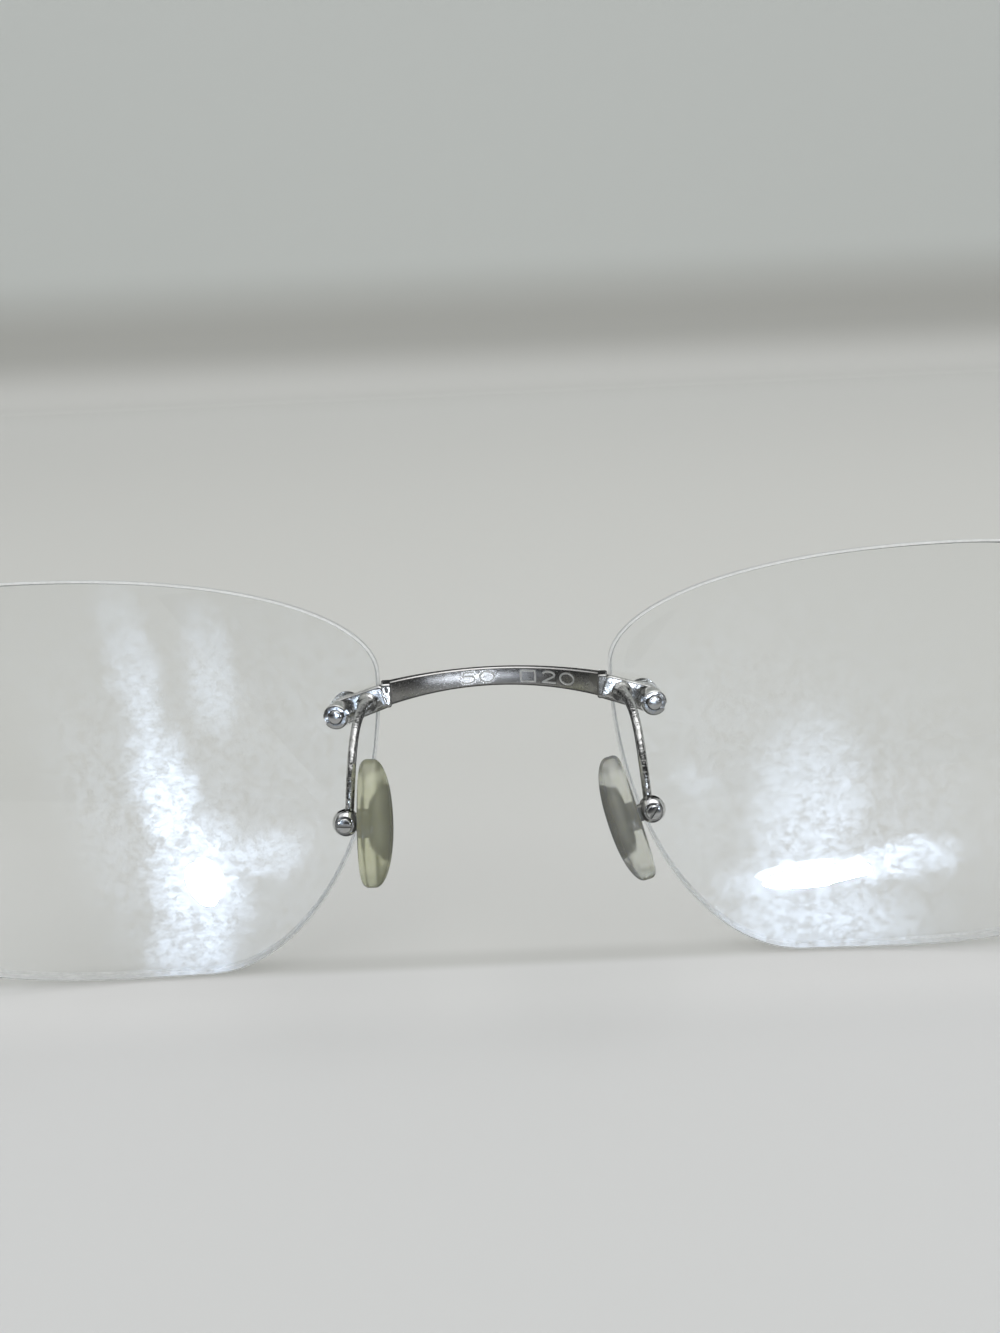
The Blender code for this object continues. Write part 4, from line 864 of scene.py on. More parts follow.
def claw_grid(claw, reach, place):
    """Claw in the lens frame: rounded rectangles from behind the foot forward past the lens edge."""
    rear = carried(np.array((reach, 0.0, FOOT_REAR)), np.linalg.inv(LENS) @ place)[1]
    front = sphere_depth(*claw, LENS_REAR_RADIUS + LENS_THICKNESS) - CLAW_FRONT_STEP
    turn = np.linspace(0.0, pi / 2, 6)
    inset = FOOT_EDGE_ROUND * (1 - np.sin(turn))
    depth = FOOT_EDGE_ROUND * (1 - np.cos(turn))
    insets = np.concatenate([inset, inset[::-1]])
    flat = rectangle(CLAW_WIDTH / 2 - insets, CLAW_HEIGHT / 2 - insets, STRIP_CORNER)
    return layered(flat + claw, np.concatenate([rear + depth, (front - depth)[::-1]]), axis=1)


def with_foot(mesh, spot, side):
    """Strip joined with its foot and claw, the foot drilled for the screw."""
    place, reach = MOUNT_FRAMES[spot]
    foot = solid(foot_grid(reach), place, side)
    hook = solid(claw_grid(MOUNTS[spot][1], reach, place), LENS, side)
    drill = rod(SCREW_BORE, FOOT_REAR - FOOT_THICKNESS, FOOT_FRONT + FLANGE_THICKNESS, place, side)
    return worked(worked(mesh, 'UNION', foot, hook), 'DIFFERENCE', drill)


def make_mount(spot, label, side):
    """Domed screw, washer, flanged bushing and slotted nut."""
    tag = "_" + spot + "_" + label
    place, _ = MOUNT_FRAMES[spot]
    point = quarter(SCREW_RADIUS, 0.0, SCREW_POINT_ROUND, SCREW_POINT_ROUND, 4)
    screw = [(0.0, SCREW_POINT)] + [(r, SCREW_POINT + SCREW_POINT_ROUND - h) for r, h in point[::-1]]
    screw += [(SCREW_RADIUS, HEAD_REAR), (SCREW_HEAD_RADIUS, HEAD_REAR)]
    screw += quarter(SCREW_HEAD_RADIUS, HEAD_REAR + SCREW_HEAD_RIM, SCREW_HEAD_CROWN, SCREW_HEAD_RADIUS, 12)
    piece("mount_screw" + tag, "steel", lathe(screw, place, side), POLISHED)
    soft = WASHER_THICKNESS / 3
    washer = [(SCREW_BORE, WASHER_REAR), (WASHER_RADIUS, WASHER_REAR)]
    washer += quarter(WASHER_RADIUS, WASHER_FRONT - soft, soft, soft, 4) + [(SCREW_BORE, WASHER_FRONT)]
    piece("washer" + tag, "steel", lathe(washer, place, side, closed=True), POLISHED)
    bushing = [(SCREW_BORE, FLANGE_REAR), (FLANGE_RADIUS, FLANGE_REAR), (FLANGE_RADIUS, FLANGE_FRONT),
               (BUSHING_RADIUS, FLANGE_FRONT), (BUSHING_RADIUS, LENS_THICKNESS),
               (SCREW_BORE, LENS_THICKNESS)]
    piece("bushing" + tag, "nylon", lathe(bushing, place, side, closed=True), NYLON)
    rim = quarter(NUT_RADIUS, 0.0, NUT_ROUND, NUT_ROUND, 6)
    nut = [(SCREW_BORE, NUT_FRONT), (NUT_RADIUS, NUT_FRONT)]
    nut += [(r, NUT_REAR + NUT_ROUND - h) for r, h in rim] + [(SCREW_BORE, NUT_REAR)]
    slot = slot_bar(2 * NUT_RADIUS, NUT_SLOT_WIDTH, NUT_SLOT_DEPTH, NUT_REAR, place, side)
    nut = worked(lathe(nut, place, side, FINE_STEPS, closed=True), 'DIFFERENCE', slot)
    piece("nut" + tag, "steel", nut, SOLDERED)


# Bridge
BRIDGE_HALF = LENS_SPACING / 2 - CLAW_MIDDLE
BRIDGE_RADIUS = (BRIDGE_HALF ** 2 + BRIDGE_BOW ** 2) / (2 * BRIDGE_BOW)
BRIDGE_REAR_RADIUS = BRIDGE_RADIUS - BRIDGE_THICKNESS / 2
BRIDGE_AXIS_DEPTH = BRIDGE_END_DEPTH + BRIDGE_BOW - BRIDGE_RADIUS


def bridge_level(x):
    """Level of the strip's middle: it rises by the rise times one minus the square of x over the half."""
    return BRIDGE_HEIGHT + BRIDGE_RISE * (1 - (x / BRIDGE_HALF) ** 2)


def bridge_line(x):
    """Middle of the strip, a circular arc in plan, and its height, which grows by the square outwards."""
    y = BRIDGE_AXIS_DEPTH + np.sqrt(BRIDGE_RADIUS ** 2 - x ** 2)
    height = BRIDGE_MIDDLE_HEIGHT + (BRIDGE_END_HEIGHT - BRIDGE_MIDDLE_HEIGHT) * (x / BRIDGE_HALF) ** 2
    return np.stack([x, y, bridge_level(x)], axis=-1), height


def mark_paths():
    """Strokes of the size mark, as (points, closed) with the distance along the strip and the height.

    A zero is an ellipse, and the other strokes are straight lines and elliptical arcs. The bare numbers
    are shares of a digit's width and height, and angles in degrees.
    """
    wide, tall = MARK_DIGIT_WIDTH, MARK_HEIGHT
    turn = np.linspace(0.0, 2 * pi, 41)[:-1]
    oval = np.stack([wide / 2 * (1 + np.cos(turn)), tall / 2 * np.sin(turn)], axis=-1)

    def line(*corners):
        corners = np.array(corners)
        share = np.linspace(0.0, 1.0, 9)[:-1, None]
        steps = [start + (end - start) * share for start, end in zip(corners, corners[1:])]
        return np.concatenate(steps + [corners[-1:]])

    def arc(middle, reach, rise, start, end):
        return middle + np.array((reach, rise)) * on_circle(np.radians(np.linspace(start, end, 21)))

    two_top = arc((wide * 0.47, tall * 0.22), wide * 0.42, tall * 0.28, 165.0, -35.0)
    two = np.concatenate([two_top, line(two_top[-1], (0.0, -tall / 2), (wide, -tall / 2))[1:]])
    bowl = arc((wide * 0.46, -tall * 0.17), wide * 0.50, tall * 0.33, 128.0, -150.0)
    five = np.concatenate([line((wide * 0.92, tall / 2), (wide * 0.16, tall / 2), bowl[0])[:-1], bowl])
    foot, top = -tall / 2, tall / 2
    box = line((0.0, foot), (wide, foot), (wide, top), (0.0, top), (0.0, foot))[:-1]
    shapes = {"0": (oval, True), "2": (two, False), "5": (five, False), "box": (box, True)}
    return [(shapes[key][0] + (start, 0.0), shapes[key][1]) for key, start in MARK_PLACES]


def mark_tools():
    """Cutters of the size mark: thin bars along each stroke, bent round the rear face of the strip."""
    tools = []
    for points, closed in mark_paths():
        turn = points[:, 0] / BRIDGE_REAR_RADIUS
        outward = np.stack([np.sin(turn), np.cos(turn), np.zeros_like(turn)], axis=-1)
        centres = outward * BRIDGE_REAR_RADIUS
        centres[:, 1] += BRIDGE_AXIS_DEPTH
        centres[:, 2] = bridge_level(centres[:, 0]) + points[:, 1]
        outlines = np.tile(rectangle(MARK_STROKE / 2, MARK_DEPTH, MARK_DEPTH / 4, 1), (len(points), 1, 1))
        tools.append(solid(swept(centres, outward, outlines), FRONT, closed=closed))
    return tools


def mark_faces(mesh):
    """Material index of each face: one on the floors and walls of the marks, two on the claws and feet."""
    middles = face_middles(mesh, FRONT)
    depth = np.hypot(middles[:, 0], middles[:, 1] - BRIDGE_AXIS_DEPTH) - BRIDGE_REAR_RADIUS
    rise = np.abs(middles[:, 2] - bridge_level(middles[:, 0]))
    across = np.abs(middles[:, 0])
    marked = (rise < MARK_HEIGHT / 2 + MARK_STROKE / 2) & (across < BRIDGE_HALF - CLAW_WIDTH)
    marked &= (depth > MARK_DEPTH / 4) & (depth < MARK_DEPTH * 2)
    return np.where(across > BRIDGE_HALF - CLAW_WIDTH / 2, 2, marked).astype(np.int32)


def make_bridge():
    """Bowed strip with a foot and a claw at each end and the size mark cut in its rear face."""
    centres, heights = bridge_line(np.linspace(-BRIDGE_HALF, BRIDGE_HALF, BRIDGE_POINTS))
    outlines = rectangle(BRIDGE_THICKNESS / 2, heights / 2, STRIP_CORNER)
    mesh = solid(swept(centres, UPRIGHT, outlines), FRONT)
    for side in SIDES.values():
        mesh = with_foot(mesh, "nasal", side)
    mesh = worked(mesh, 'DIFFERENCE', *mark_tools(), crossed=True)
    marked = mark_faces(mesh)
    piece("bridge", "strip", mesh, SATIN)
    add_finishes(mesh, marked, ENGRAVED, SOLDERED)


# Pad arms, boxes and pads
def make_pad_arm(label, side):
    """Bent wire on a cubic curve, thick at its root, with a solder fillet against the foot.

    The radius falls from root to wire by the square of what is left of the taper, and the fillet adds
    its spread times exp of minus the squared distance.
    """
    place, reach = MOUNT_FRAMES["nasal"]
    to_front = np.linalg.inv(FRONT) @ place
    root = np.array((reach - CLAW_MIDDLE - ARM_ROOT_FROM_EDGE, 0.0, FOOT_REAR - SEAT_GAP))
    start = carried(root, to_front)
    landing = np.array(ARM_LANDING) / np.linalg.norm(ARM_LANDING)
    above = np.array(ARM_DESCENT) / np.linalg.norm(ARM_DESCENT)
    end = PIVOT_IN_FRONT + landing * (BALL_RADIUS - ARM_WIRE_RADIUS)
    path = bezier((start, start - to_front[:3, 2] * ARM_ROOT_LEAD, end + above * ARM_END_LEAD, end),
                  ARM_POINTS)
    share = np.clip(1 - np.linspace(0.0, 1.0, len(path)) / ARM_TAPER_SHARE, 0.0, 1.0) ** 2
    radii = ARM_WIRE_RADIUS + (ARM_ROOT_RADIUS - ARM_WIRE_RADIUS) * share
    run = np.linalg.norm(path - path[0], axis=1)
    radii += SOLDER_SPREAD * np.exp(-(run / SOLDER_REACH) ** 2)
    outlines = radii[:, None, None] * on_circle(full_turn(WIRE_STEPS))
    mesh = solid(swept(path, ACROSS, outlines), FRONT, side)
    piece("pad_arm_" + label, "wire", mesh, WORN_WIRE, sharp=50.0)


def pad_frame(label, side, rocking):
    """Frame of a pad box, or of the pad that rocks in it; the pad lies inboard along X."""
    made = FRONT @ shifted(*(PIVOT_IN_FRONT * (side, 1.0, 1.0))) @ turned(-side * PAD_FLARE, 'Y')
    return made @ turned(-side * PAD_ROCK_AT_REST[label], 'Y') if rocking else made


def make_pad_box(label, side):
    """Ball with flats, a slot for the pad's lug and a bore for its screw, and the slotted screw."""
    place = pad_frame(label, side, False)
    upright = place @ turned(pi / 2, 'X')
    turn = np.linspace(-pi / 2, pi / 2, 33)
    ball = BALL_RADIUS * np.stack([np.abs(np.cos(turn)), np.sin(turn)], axis=-1)
    mesh = lathe(ball, place, segments=BALL_STEPS)
    for rock in (-PAD_ROCK_LIMIT, PAD_ROCK_LIMIT):
        inward = place[:3, :3] @ np.array((-side * cos(rock), 0.0, sin(rock)))
        mesh = sliced(mesh, place[:3, 3] + inward * BOX_FLAT_DISTANCE, inward)
    rearward = -place[:3, 1]
    mesh = sliced(mesh, place[:3, 3] + rearward * BOX_HEAD_FLAT_DISTANCE, rearward)
    half = LUG_THICKNESS / 2 + RUNNING_GAP
    edges = sorted((side * (LUG_RADIUS + RUNNING_GAP), -side * 2 * BALL_RADIUS))
    slot = block((edges[0], -half, -2 * BALL_RADIUS), (edges[1], half, 2 * BALL_RADIUS), place)
    bore = rod(PAD_BORE, -2 * BALL_RADIUS, 2 * BALL_RADIUS, upright)
    piece("pad_box_" + label, "ball", worked(mesh, 'DIFFERENCE', slot, bore), POLISHED)
    screw = slotted_screw(upright, 1, PAD_SCREW_RADIUS, PAD_SCREW_SLOT_DEPTH - BALL_RADIUS,
                          BOX_HEAD_FLAT_DISTANCE + SEAT_GAP, PAD_SCREW_HEAD_RADIUS, PAD_SCREW_HEAD_HEIGHT,
                          (2 * BALL_RADIUS, PAD_SCREW_SLOT_WIDTH, PAD_SCREW_SLOT_DEPTH,
                           PAD_SCREW_SLOT_TURN[label]))
    piece("pad_screw_" + label, "steel", screw, POLISHED)


def make_pad_core(label, side):
    """Metal core: a round-ended lug, a back plate, a neck and a core plate, stacked along the thickness.

    The core plate swells by sqrt(1 - t^2) from edge to edge, so that it is oval seen from the side.
    """
    place = pad_frame(label, side, True)
    turn = np.linspace(pi / 2, 0.0, 9)
    distance = list(-LUG_RADIUS * np.sin(turn)) + [PAD_STANDOFF]
    half_width = [LUG_THICKNESS / 2] * (len(turn) + 1)
    half_length = list(np.maximum(LUG_RADIUS * np.cos(turn), LUG_END_HALF_HEIGHT)) + [LUG_RADIUS]
    back = PAD_STANDOFF - CORE_OVERLAP
    for depth, width, length in (CORE_BACK, CORE_NECK):
        distance += [back, back + depth]
        half_width += [width / 2] * 2
        half_length += [length / 2] * 2
        back += depth
    depth, width, length = CORE_PLATE
    across = np.linspace(-CORE_SWELL_END, CORE_SWELL_END, 9)
    swell = np.sqrt(1 - across ** 2)
    distance += list(back + depth * (across - across[0]) / (across[-1] - across[0]))
    half_width = np.concatenate([half_width, width / 2 * swell])
    half_length = np.concatenate([half_length, length / 2 * swell])
    corner = np.minimum(half_width, half_length) * CORE_CORNER_SHARE
    corner[-len(across):] = half_width[-len(across):]
    grid = layered(rectangle(half_width, half_length, corner), -side * np.array(distance), axis=0)
    bore = rod(PAD_BORE, -2 * BALL_RADIUS, 2 * BALL_RADIUS, place @ turned(pi / 2, 'X'))
    mesh = worked(solid(grid, place), 'DIFFERENCE', bore)
    piece("pad_core_" + label, "steel", mesh, CORE_METAL, "pad_" + label)


def make_nose_pad(label, side):
    """Egg-shaped soft pad: rings drawn in at the flat back, straight up the wall and over the crown.

    A ring's points are the width times cos times the egg share, and the length times sin, scaled by the
    profile. Over the crown the scale is cos to the power 2 over the squareness and the height goes by sin.
    """
    start = np.linspace(0.0, pi / 2, 8)
    crown = np.linspace(0.0, pi / 2, 26)
    share = np.concatenate([[0.0], PAD_WALL_START * (1 - np.cos(start)),
                            PAD_WALL_END + (1 - PAD_WALL_END) * np.sin(crown)])
    scale = np.concatenate([[0.0], 1 - PAD_BACK_DRAW * (1 - np.sin(start)),
                            np.abs(np.cos(crown)) ** (2 / PAD_CROWN_SQUARENESS)])[:, None]
    turn = full_turn(PAD_STEPS)
    width = scale * PAD_WIDTH / 2 * np.cos(turn) * (1 - PAD_EGG * np.sin(turn))
    length = scale * PAD_LENGTH / 2 * np.sin(turn) - PAD_DROP
    depth = -side * (PAD_STANDOFF + share * PAD_THICKNESS)
    grid = layered(np.stack([width, length], axis=-1), depth, axis=0)
    mesh = solid(grid, pad_frame(label, side, True))
    piece("nose_pad_" + label, "silicone", mesh, SILICONE[label], "pad_" + label, sharp=60.0)


# End pieces and hinges
def make_end_piece(label, side):
    """Strip on a cubic curve from the outer claw round the corner to the hinge.

    It turns upright on the way by a smooth step, and its height follows.
    """
    to_hinge = np.linalg.inv(HINGE)
    outer = carried(np.array((TEMPORAL_CLAW[0], 0.0, TEMPORAL_CLAW[1])), LENS)
    outer += FRONT[:3, 1] * END_PIECE_DEPTH
    start = carried(outer, to_hinge)
    leave = to_hinge[:3, :3] @ LENS[:3, 0]
    x = STRIP_INNER + END_PIECE_THICKNESS / 2
    corner = np.array((x, LEAF_LENGTH + SEAT_GAP, 0.0))
    end = np.array((x, SEAT_GAP, 0.0))
    curve = bezier((start, start + leave * END_PIECE_START_LEAD,
                    corner + (0.0, END_PIECE_END_LEAD, 0.0), corner), END_PIECE_POINTS)
    centres = np.concatenate([curve, corner + (end - corner) * np.linspace(0.0, 1.0, 9)[1:, None]])
    share = np.minimum(np.arange(len(centres)) / (len(curve) - 1), 1.0)
    share = share ** 2 * (3 - 2 * share)
    tilted = to_hinge[:3, :3] @ FRONT[:3, 2]
    ups = tilted + share[:, None] * (UPRIGHT - tilted)
    heights = CLAW_HEIGHT + (END_PIECE_HINGE_HEIGHT - CLAW_HEIGHT) * share
    outlines = rectangle(END_PIECE_THICKNESS / 2, heights / 2, STRIP_CORNER)
    mesh = with_foot(solid(swept(centres, ups, outlines), HINGE, side), "temporal", side)
    piece("end_piece_" + label, "steel", mesh, POLISHED)


def make_leaf(node, body, side, direction, open_knuckles):
    """Hinge leaf: a barrel with a flat leaf beside it, the other leaf's knuckles cut away."""
    inner = BARREL_RADIUS - LEAF_THICKNESS
    meet = asin(inner / BARREL_RADIUS)
    turn = pi / 2 - meet + np.linspace(0.0, 1.0, 49)[:-1] * (3 * pi / 2 + meet)
    outline = np.concatenate([[(BARREL_RADIUS, 0.0), (BARREL_RADIUS, LEAF_LENGTH), (inner, LEAF_LENGTH)],
                              BARREL_RADIUS * on_circle(turn)])
    grid = layered(np.tile(outline * (1, direction), (2, 1, 1)), (-HINGE_HEIGHT / 2, HINGE_HEIGHT / 2))
    pitch = HINGE_HEIGHT / KNUCKLE_COUNT
    tools = [rod(HINGE_SCREW_RADIUS + BORE_GAP, -HINGE_HEIGHT, HINGE_HEIGHT, HINGE, side, FINE_STEPS)]
    for index in open_knuckles:
        low = -HINGE_HEIGHT / 2 + index * pitch - KNUCKLE_GAP / 2 - (pitch if index == 0 else 0.0)
        high = -HINGE_HEIGHT / 2 + (index + 1) * pitch + KNUCKLE_GAP / 2
        high += pitch if index == KNUCKLE_COUNT - 1 else 0.0
        tools.append(rod(BARREL_RADIUS + KNUCKLE_CLEARANCE, low, high, HINGE, side, FINE_STEPS))
    piece(node, "steel", worked(solid(grid, HINGE, side), 'DIFFERENCE', *tools), POLISHED, body)


def make_hinge_screw(label, side):
    """Slotted screw that pins the knuckles, its head on top."""
    screw = slotted_screw(HINGE, side, HINGE_SCREW_RADIUS, -HINGE_HEIGHT / 2, HINGE_HEIGHT / 2 + SEAT_GAP,
                          HINGE_HEAD_RADIUS, HINGE_HEAD_HEIGHT,
                          (2 * BARREL_RADIUS, HINGE_SLOT_WIDTH, HINGE_SLOT_DEPTH, HINGE_SLOT_TURN))
    piece("hinge_screw_" + label, "steel", screw, POLISHED)


# Temples and tips
def temple_path(s):
    """Centres and up directions in the hinge's frame at distances s from the hinge.

    The path runs straight back, bends down on an arc and runs straight on. From the curve's start it
    also draws in as the square of the distance.
    """
    arc = np.clip((s - TEMPLE_BEND_START) / TEMPLE_BEND_RADIUS, 0.0, TEMPLE_BEND_ANGLE)
    after = np.maximum(s - TEMPLE_BEND_START - TEMPLE_BEND_RADIUS * TEMPLE_BEND_ANGLE, 0.0)
    y = -np.minimum(s, TEMPLE_BEND_START) - TEMPLE_BEND_RADIUS * np.sin(arc) - after * np.cos(arc)
    z = -TEMPLE_BEND_RADIUS * (1 - np.cos(arc)) - after * np.sin(arc)
    drawn = np.maximum(s - TEMPLE_CURVE_START, 0.0) / (TEMPLE_LENGTH - TEMPLE_CURVE_START)
    x = STRIP_INNER + TEMPLE_THICKNESS / 2 - TEMPLE_CURVE_INWARD * drawn ** 2
    return np.stack([x, y, z], axis=1), np.stack([np.zeros_like(s), -np.sin(arc), np.cos(arc)], axis=1)


def make_temple(label, side):
    """Flat strip that narrows to a round core inside the tip."""
    s = np.concatenate([np.linspace(SEAT_GAP, TEMPLE_FLAT_LENGTH, 25),
                        np.linspace(TEMPLE_FLAT_LENGTH, TEMPLE_LENGTH - TEMPLE_CORE_SETBACK, 90)[1:]])
    centres, ups = temple_path(s)
    along = np.minimum(s / TEMPLE_FLAT_LENGTH, 1.0)
    height = END_PIECE_HINGE_HEIGHT + (TEMPLE_REAR_HEIGHT - END_PIECE_HINGE_HEIGHT) * along
    round_share = np.clip((s - TEMPLE_FLAT_LENGTH) / TEMPLE_BLEND_LENGTH, 0.0, 1.0)
    outlines = rectangle(*(flat + (TEMPLE_CORE_RADIUS - flat) * round_share
                           for flat in (TEMPLE_THICKNESS / 2, height / 2, STRIP_CORNER)))
    mesh = solid(swept(centres, ups, outlines), HINGE, side)
    piece("temple_" + label, "steel", mesh, POLISHED, "temple_" + label)


def make_tip(label, side):
    """Plastic tip: oval sections that swell by a smooth step towards the rounded end."""
    s = np.concatenate([np.linspace(TIP_MOUTH, TEMPLE_LENGTH - TIP_ROUND_LENGTH, 90),
                        TEMPLE_LENGTH - TIP_ROUND_LENGTH * (1 - np.sin(np.linspace(0, pi / 2, 13)[1:]))])
    centres, ups = temple_path(s)
    share = np.minimum((s - TIP_MOUTH) / (TIP_LENGTH - TIP_ROUND_LENGTH), 1.0)
    swell = (share ** 2 * (3 - 2 * share))[:, None]
    past = np.maximum((s - (TEMPLE_LENGTH - TIP_ROUND_LENGTH)) / TIP_ROUND_LENGTH, 0.0)
    shrink = np.sqrt(np.maximum(1 - past ** 2, 0.0))[:, None]
    size = np.array(TIP_MOUTH_SIZE) + (np.array(TIP_END_SIZE) - TIP_MOUTH_SIZE) * swell
    outlines = (size * shrink / 2)[:, None] * on_circle(full_turn(TIP_STEPS))
    mesh = solid(swept(centres, ups, outlines), HINGE, side)
    piece("temple_tip_" + label, "plastic", mesh, TIP_PLASTIC, "temple_" + label, sharp=60.0)


make_bridge()
for label, side in SIDES.items():
    make_lens(label, side)
    for spot in MOUNTS:
        make_mount(spot, label, side)
    make_pad_arm(label, side)
    make_pad_box(label, side)
    make_pad_core(label, side)
    make_nose_pad(label, side)
    make_end_piece(label, side)
    make_leaf("hinge_front_leaf_" + label, "front", side, 1, (1, 3))
    make_leaf("hinge_temple_leaf_" + label, "temple_" + label, side, -1, (0, 2, 4))
    make_hinge_screw(label, side)
    make_temple(label, side)
    make_tip(label, side)


# Camera
CAMERA_PLACE = (0.000863, -0.011317, 0.052655)
CAMERA_PITCH = radians(17.383)
CAMERA_YAW = radians(-0.188)
CAMERA_ROLL = radians(2.628)
CAMERA_LENS = 27.007
CAMERA_SENSOR = 36.0
CAMERA_REACH = (0.002, 50.0)


def make_camera():
    """Camera that looks forward and down, rolled a little."""
    forward = np.array((sin(CAMERA_YAW) * cos(CAMERA_PITCH), cos(CAMERA_YAW) * cos(CAMERA_PITCH),
                        -sin(CAMERA_PITCH)))
    level = np.array((cos(CAMERA_YAW), -sin(CAMERA_YAW), 0.0))
    above = np.cross(level, forward)
    right = level * cos(CAMERA_ROLL) - above * sin(CAMERA_ROLL)
    above = level * sin(CAMERA_ROLL) + above * cos(CAMERA_ROLL)
    data = bpy.data.cameras.new("camera")
    data.lens = CAMERA_LENS
    data.sensor_width = CAMERA_SENSOR
    data.clip_start, data.clip_end = CAMERA_REACH
    camera = linked("camera", data)
    camera.matrix_world = Matrix(framed(right, above, -forward, CAMERA_PLACE).tolist())
    bpy.context.scene.camera = camera


make_camera()

# Stage: bands are (start, end, colour) over a first colour, along Y on the floor, along Z above it
FLOOR_FRONT = (0.600, 0.602, 0.594)
# Floor bands paint light and shade: a strip of painted sheen just in front of where the lenses stand, a
# thin painted shadow line under their bottom edges, a little lighter just behind them, and further back the
# floor turns darker and then lighter again towards the wall.
FLOOR_SHEEN_AND_SHADE_BANDS = (
    (0.0560, 0.0635, (0.655, 0.655, 0.645)),
    (0.0660, 0.0676, (0.535, 0.535, 0.515)),
    (0.0680, 0.0700, (0.605, 0.605, 0.585)),
    (0.078, 0.12, (0.560, 0.560, 0.535)),
    (0.25, 1.35, (0.67, 0.67, 0.645)))
# Wall bands paint a soft band of shade low on the wall, above a lighter foot, fading to the plain wall tone
# higher up.
WALL_SHADE_BANDS = (
    (0.0, 0.006, (0.625, 0.625, 0.60)),
    (0.010, 0.080, (0.425, 0.425, 0.40)),
    (0.095, 0.19, (0.600, 0.620, 0.600)))
MIRRORED_FAR = (0.08, 0.08, 0.08)
MIRRORED_BANDS = ((-0.16, -0.08, (0.42, 0.42, 0.41)), (0.02, 0.07, MIRRORED_FAR))
WALL_DISTANCE = 1.5
WALL_HEIGHT = 3.0
SWEEP_RADIUS = 0.15
STAGE_REACH = 4.0
CURTAIN_COLOUR = (0.05, 0.05, 0.048)
CURTAIN_RADIUS = 0.60
CURTAIN_HEIGHT = 0.55
CURTAIN_FOOT = (0.03, 0.03, 0.03)
CURTAIN_BANDS = ((0.22, 0.52, (0.34, 0.34, 0.34)),)


def banded(tree, source, colour, bands):
    """Colour that passes from a first one to band after band along a direction."""
    for start, end, shade in bands:
        colour = blended(tree, ranged(tree, source, start, end), colour, shade)
    return colour


def object_axes(tree):
    """Object coordinates along the three axes."""
    return new_node(tree, "SeparateXYZ", object_place(tree)).outputs


def stage_piece(name, points, faces, finish):
    """Part of the stage: a plain sheet in its finish."""
    item = linked(name, mesh_of(name, points, faces.tolist()))
    item.data.materials.append(finish)
    return item


def make_backdrop():
    """Floor that sweeps up into the wall: a straight run, a quarter circle and a straight rise.

    The metal and the lenses mirror it darker, except close behind the part.
    """
    turn = np.linspace(0.0, pi / 2, 25)
    bend = np.stack([WALL_DISTANCE - SWEEP_RADIUS + SWEEP_RADIUS * np.sin(turn),
                     SWEEP_RADIUS * (1 - np.cos(turn))], axis=-1)
    line = np.concatenate([[(-STAGE_REACH, 0.0)], bend, [(WALL_DISTANCE, WALL_HEIGHT)]])
    points = layered(np.tile(line, (2, 1, 1)), (-STAGE_REACH, STAGE_REACH), axis=0).reshape(-1, 3)
    index = np.arange(len(line) - 1)
    faces = np.stack([index, index + len(line), index + len(line) + 1, index + 1], axis=-1)
    finish, tree, shader = new_finish("backdrop_paper", None, FLOOR_FRONT, Roughness=0.85,
                                      Specular_IOR_Level=0.0)
    axes = object_axes(tree)
    # Painted sheen and painted shadow along Y on the floor, and a band of painted shade low on the wall.
    colour = banded(tree, axes["Z"], banded(tree, axes["Y"], FLOOR_FRONT, FLOOR_SHEEN_AND_SHADE_BANDS), WALL_SHADE_BANDS)
    path = tree.nodes.new("ShaderNodeLightPath")
    mirrored = sums(tree, 'SUBTRACT', path.outputs["Is Glossy Ray"], path.outputs["Is Transmission Ray"])
    colour = blended(tree, mirrored, colour, banded(tree, axes["Y"], MIRRORED_FAR, MIRRORED_BANDS))
    set_inputs(tree, shader, Base_Color=colour)
    stage_piece("backdrop", points, faces, finish).data.shade_smooth()


def make_curtain():
    """Dark ring round the stage, seen only in the metal and in the lenses' own reflections."""
    ring = np.tile(CURTAIN_RADIUS * on_circle(full_turn(CURTAIN_STEPS)), (2, 1, 1))
    points = layered(ring, (0.0, CURTAIN_HEIGHT)).reshape(-1, 3)
    index = np.arange(CURTAIN_STEPS)
    after = np.roll(index, -1)
    faces = np.stack([index, after, after + CURTAIN_STEPS, index + CURTAIN_STEPS], axis=-1)
    finish, tree, shader = new_finish("curtain_cloth", None, CURTAIN_COLOUR, Roughness=0.9)
    set_inputs(tree, shader, Base_Color=banded(tree, object_axes(tree)["Z"], CURTAIN_FOOT, CURTAIN_BANDS))
    item = stage_piece("curtain", points, faces, finish)
    item.visible_camera = False
    item.visible_diffuse = False
    item.visible_transmission = False
    item.visible_shadow = False


# Light
SKY_COLOUR = (0.98, 0.99, 1.0, 1.0)
SKY_STRENGTH = 0.95
WHITE = (1.0, 1.0, 1.0)
GLINT_COLOUR = (0.64, 0.78, 1.0)
GLINT_SPREAD = radians(14.0)
GLOW_COLOUR = (0.84, 0.90, 1.0)
GLOW_SPREAD = radians(11.0)
GLOW_TARGET = (-0.0010, 0.0708, 0.0270)
GLOW_REACH = (0.0, -0.25, 0.0153)
GLOW_SIZE = (0.044, 0.014)

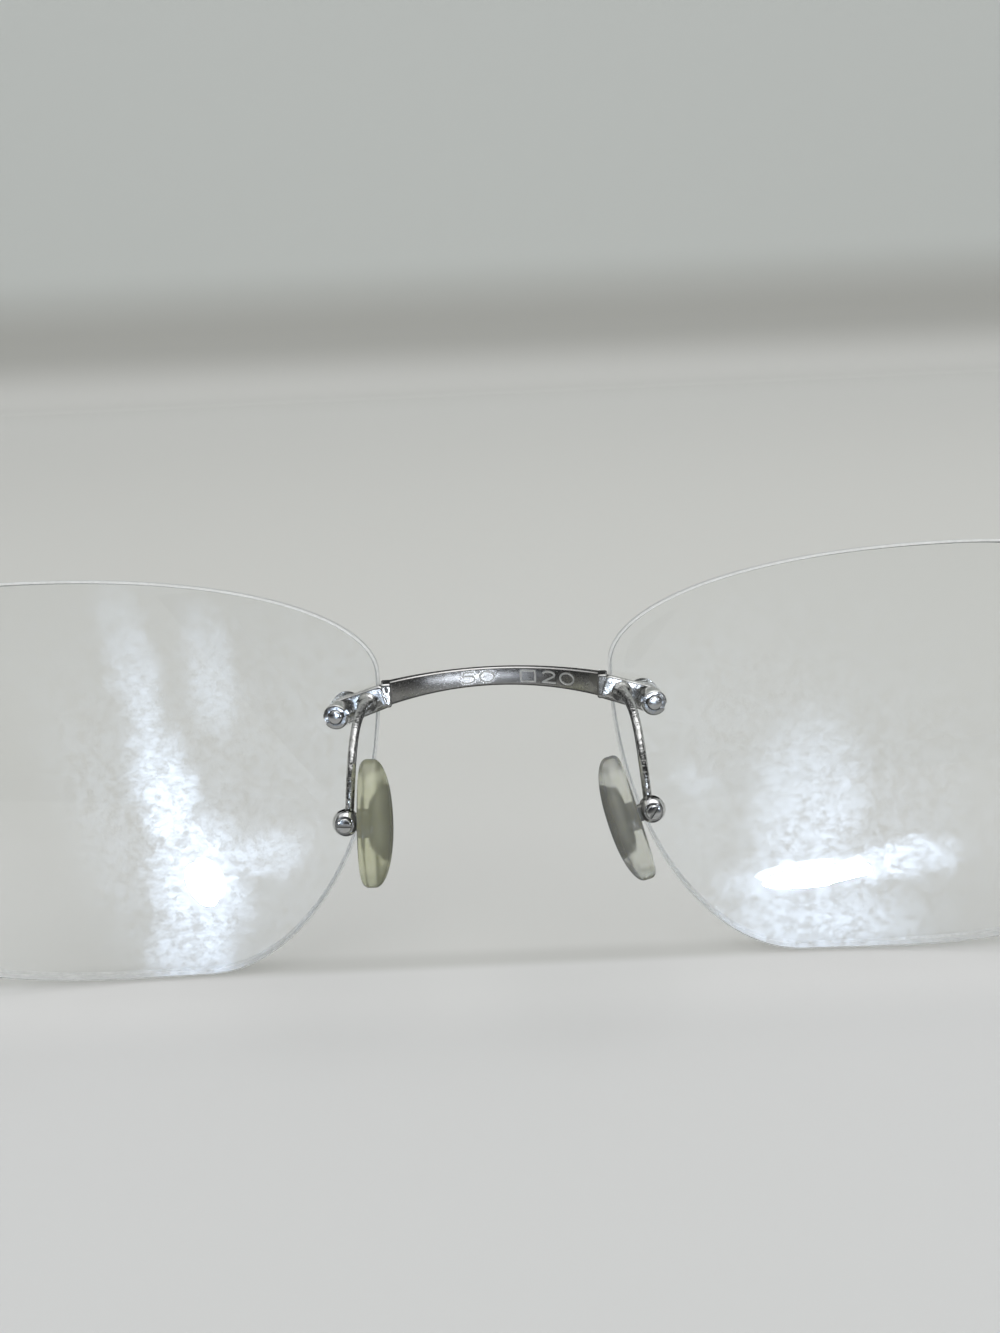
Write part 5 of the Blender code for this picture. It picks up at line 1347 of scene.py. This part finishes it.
# Lamps: name, place, target, size, power, colour, spread, roll
LAMPS = (
    ("overhead", (0.15, -0.05, 0.75), (0.0, 0.06, 0.0), (0.8, 0.8), 1.8, WHITE, pi, 0.0),
    ("glint_left", (-0.0866, -0.1738, 0.01975), (-0.0310, 0.070, 0.0160), (0.0030, 0.0038), 0.00046,
     GLINT_COLOUR, GLINT_SPREAD, 0.0),
    ("glint_right", (0.0808, -0.1746, 0.0218), (0.0330, 0.069, 0.0100), (0.0105, 0.0018), 0.00046,
     GLINT_COLOUR, GLINT_SPREAD, radians(-10.0)))

# Glows on the bridge: turn about Z from straight behind it, in degrees, and power
GLOWS = ((-30.0, 0.000008), (-20.0, 0.000018), (-10.0, 0.000030), (0.0, 0.000065),
         (10.0, 0.000115), (20.0, 0.000095), (30.0, 0.000070), (40.0, 0.000035))


def make_lamp(name, place, target, size, power, colour, spread, roll=0.0):
    """Oval lamp at a place, turned to a target and rolled about its beam, which is held to a spread."""
    data = bpy.data.lights.new(name, 'AREA')
    data.shape = 'ELLIPSE'
    data.size, data.size_y = size
    data.energy = power
    data.color = colour
    data.spread = spread
    lamp = linked(name, data)
    lamp.location = place
    aim = Vector(target) - Vector(place)
    lamp.rotation_mode = 'QUATERNION'
    lamp.rotation_quaternion = aim.to_track_quat('-Z', 'Y') @ Quaternion((0.0, 0.0, 1.0), roll)
    lamp.visible_camera = False


def make_world():
    """Even pale light from all round."""
    world = bpy.data.worlds.new("studio")
    bpy.context.scene.world = world
    world.use_nodes = True
    sky = world.node_tree.nodes["Background"]
    set_inputs(world.node_tree, sky, Color=SKY_COLOUR, Strength=SKY_STRENGTH)


make_backdrop()
make_world()
for row in LAMPS:
    make_lamp(*row)
for number, (turn, power) in enumerate(GLOWS):
    step = Matrix.Rotation(radians(turn), 3, 'Z') @ Vector(GLOW_REACH)
    make_lamp("bridge_glow_%d" % number, Vector(GLOW_TARGET) + step, GLOW_TARGET, GLOW_SIZE, power,
              GLOW_COLOUR, GLOW_SPREAD)
make_curtain()
bpy.context.scene.view_settings.view_transform = 'Standard'
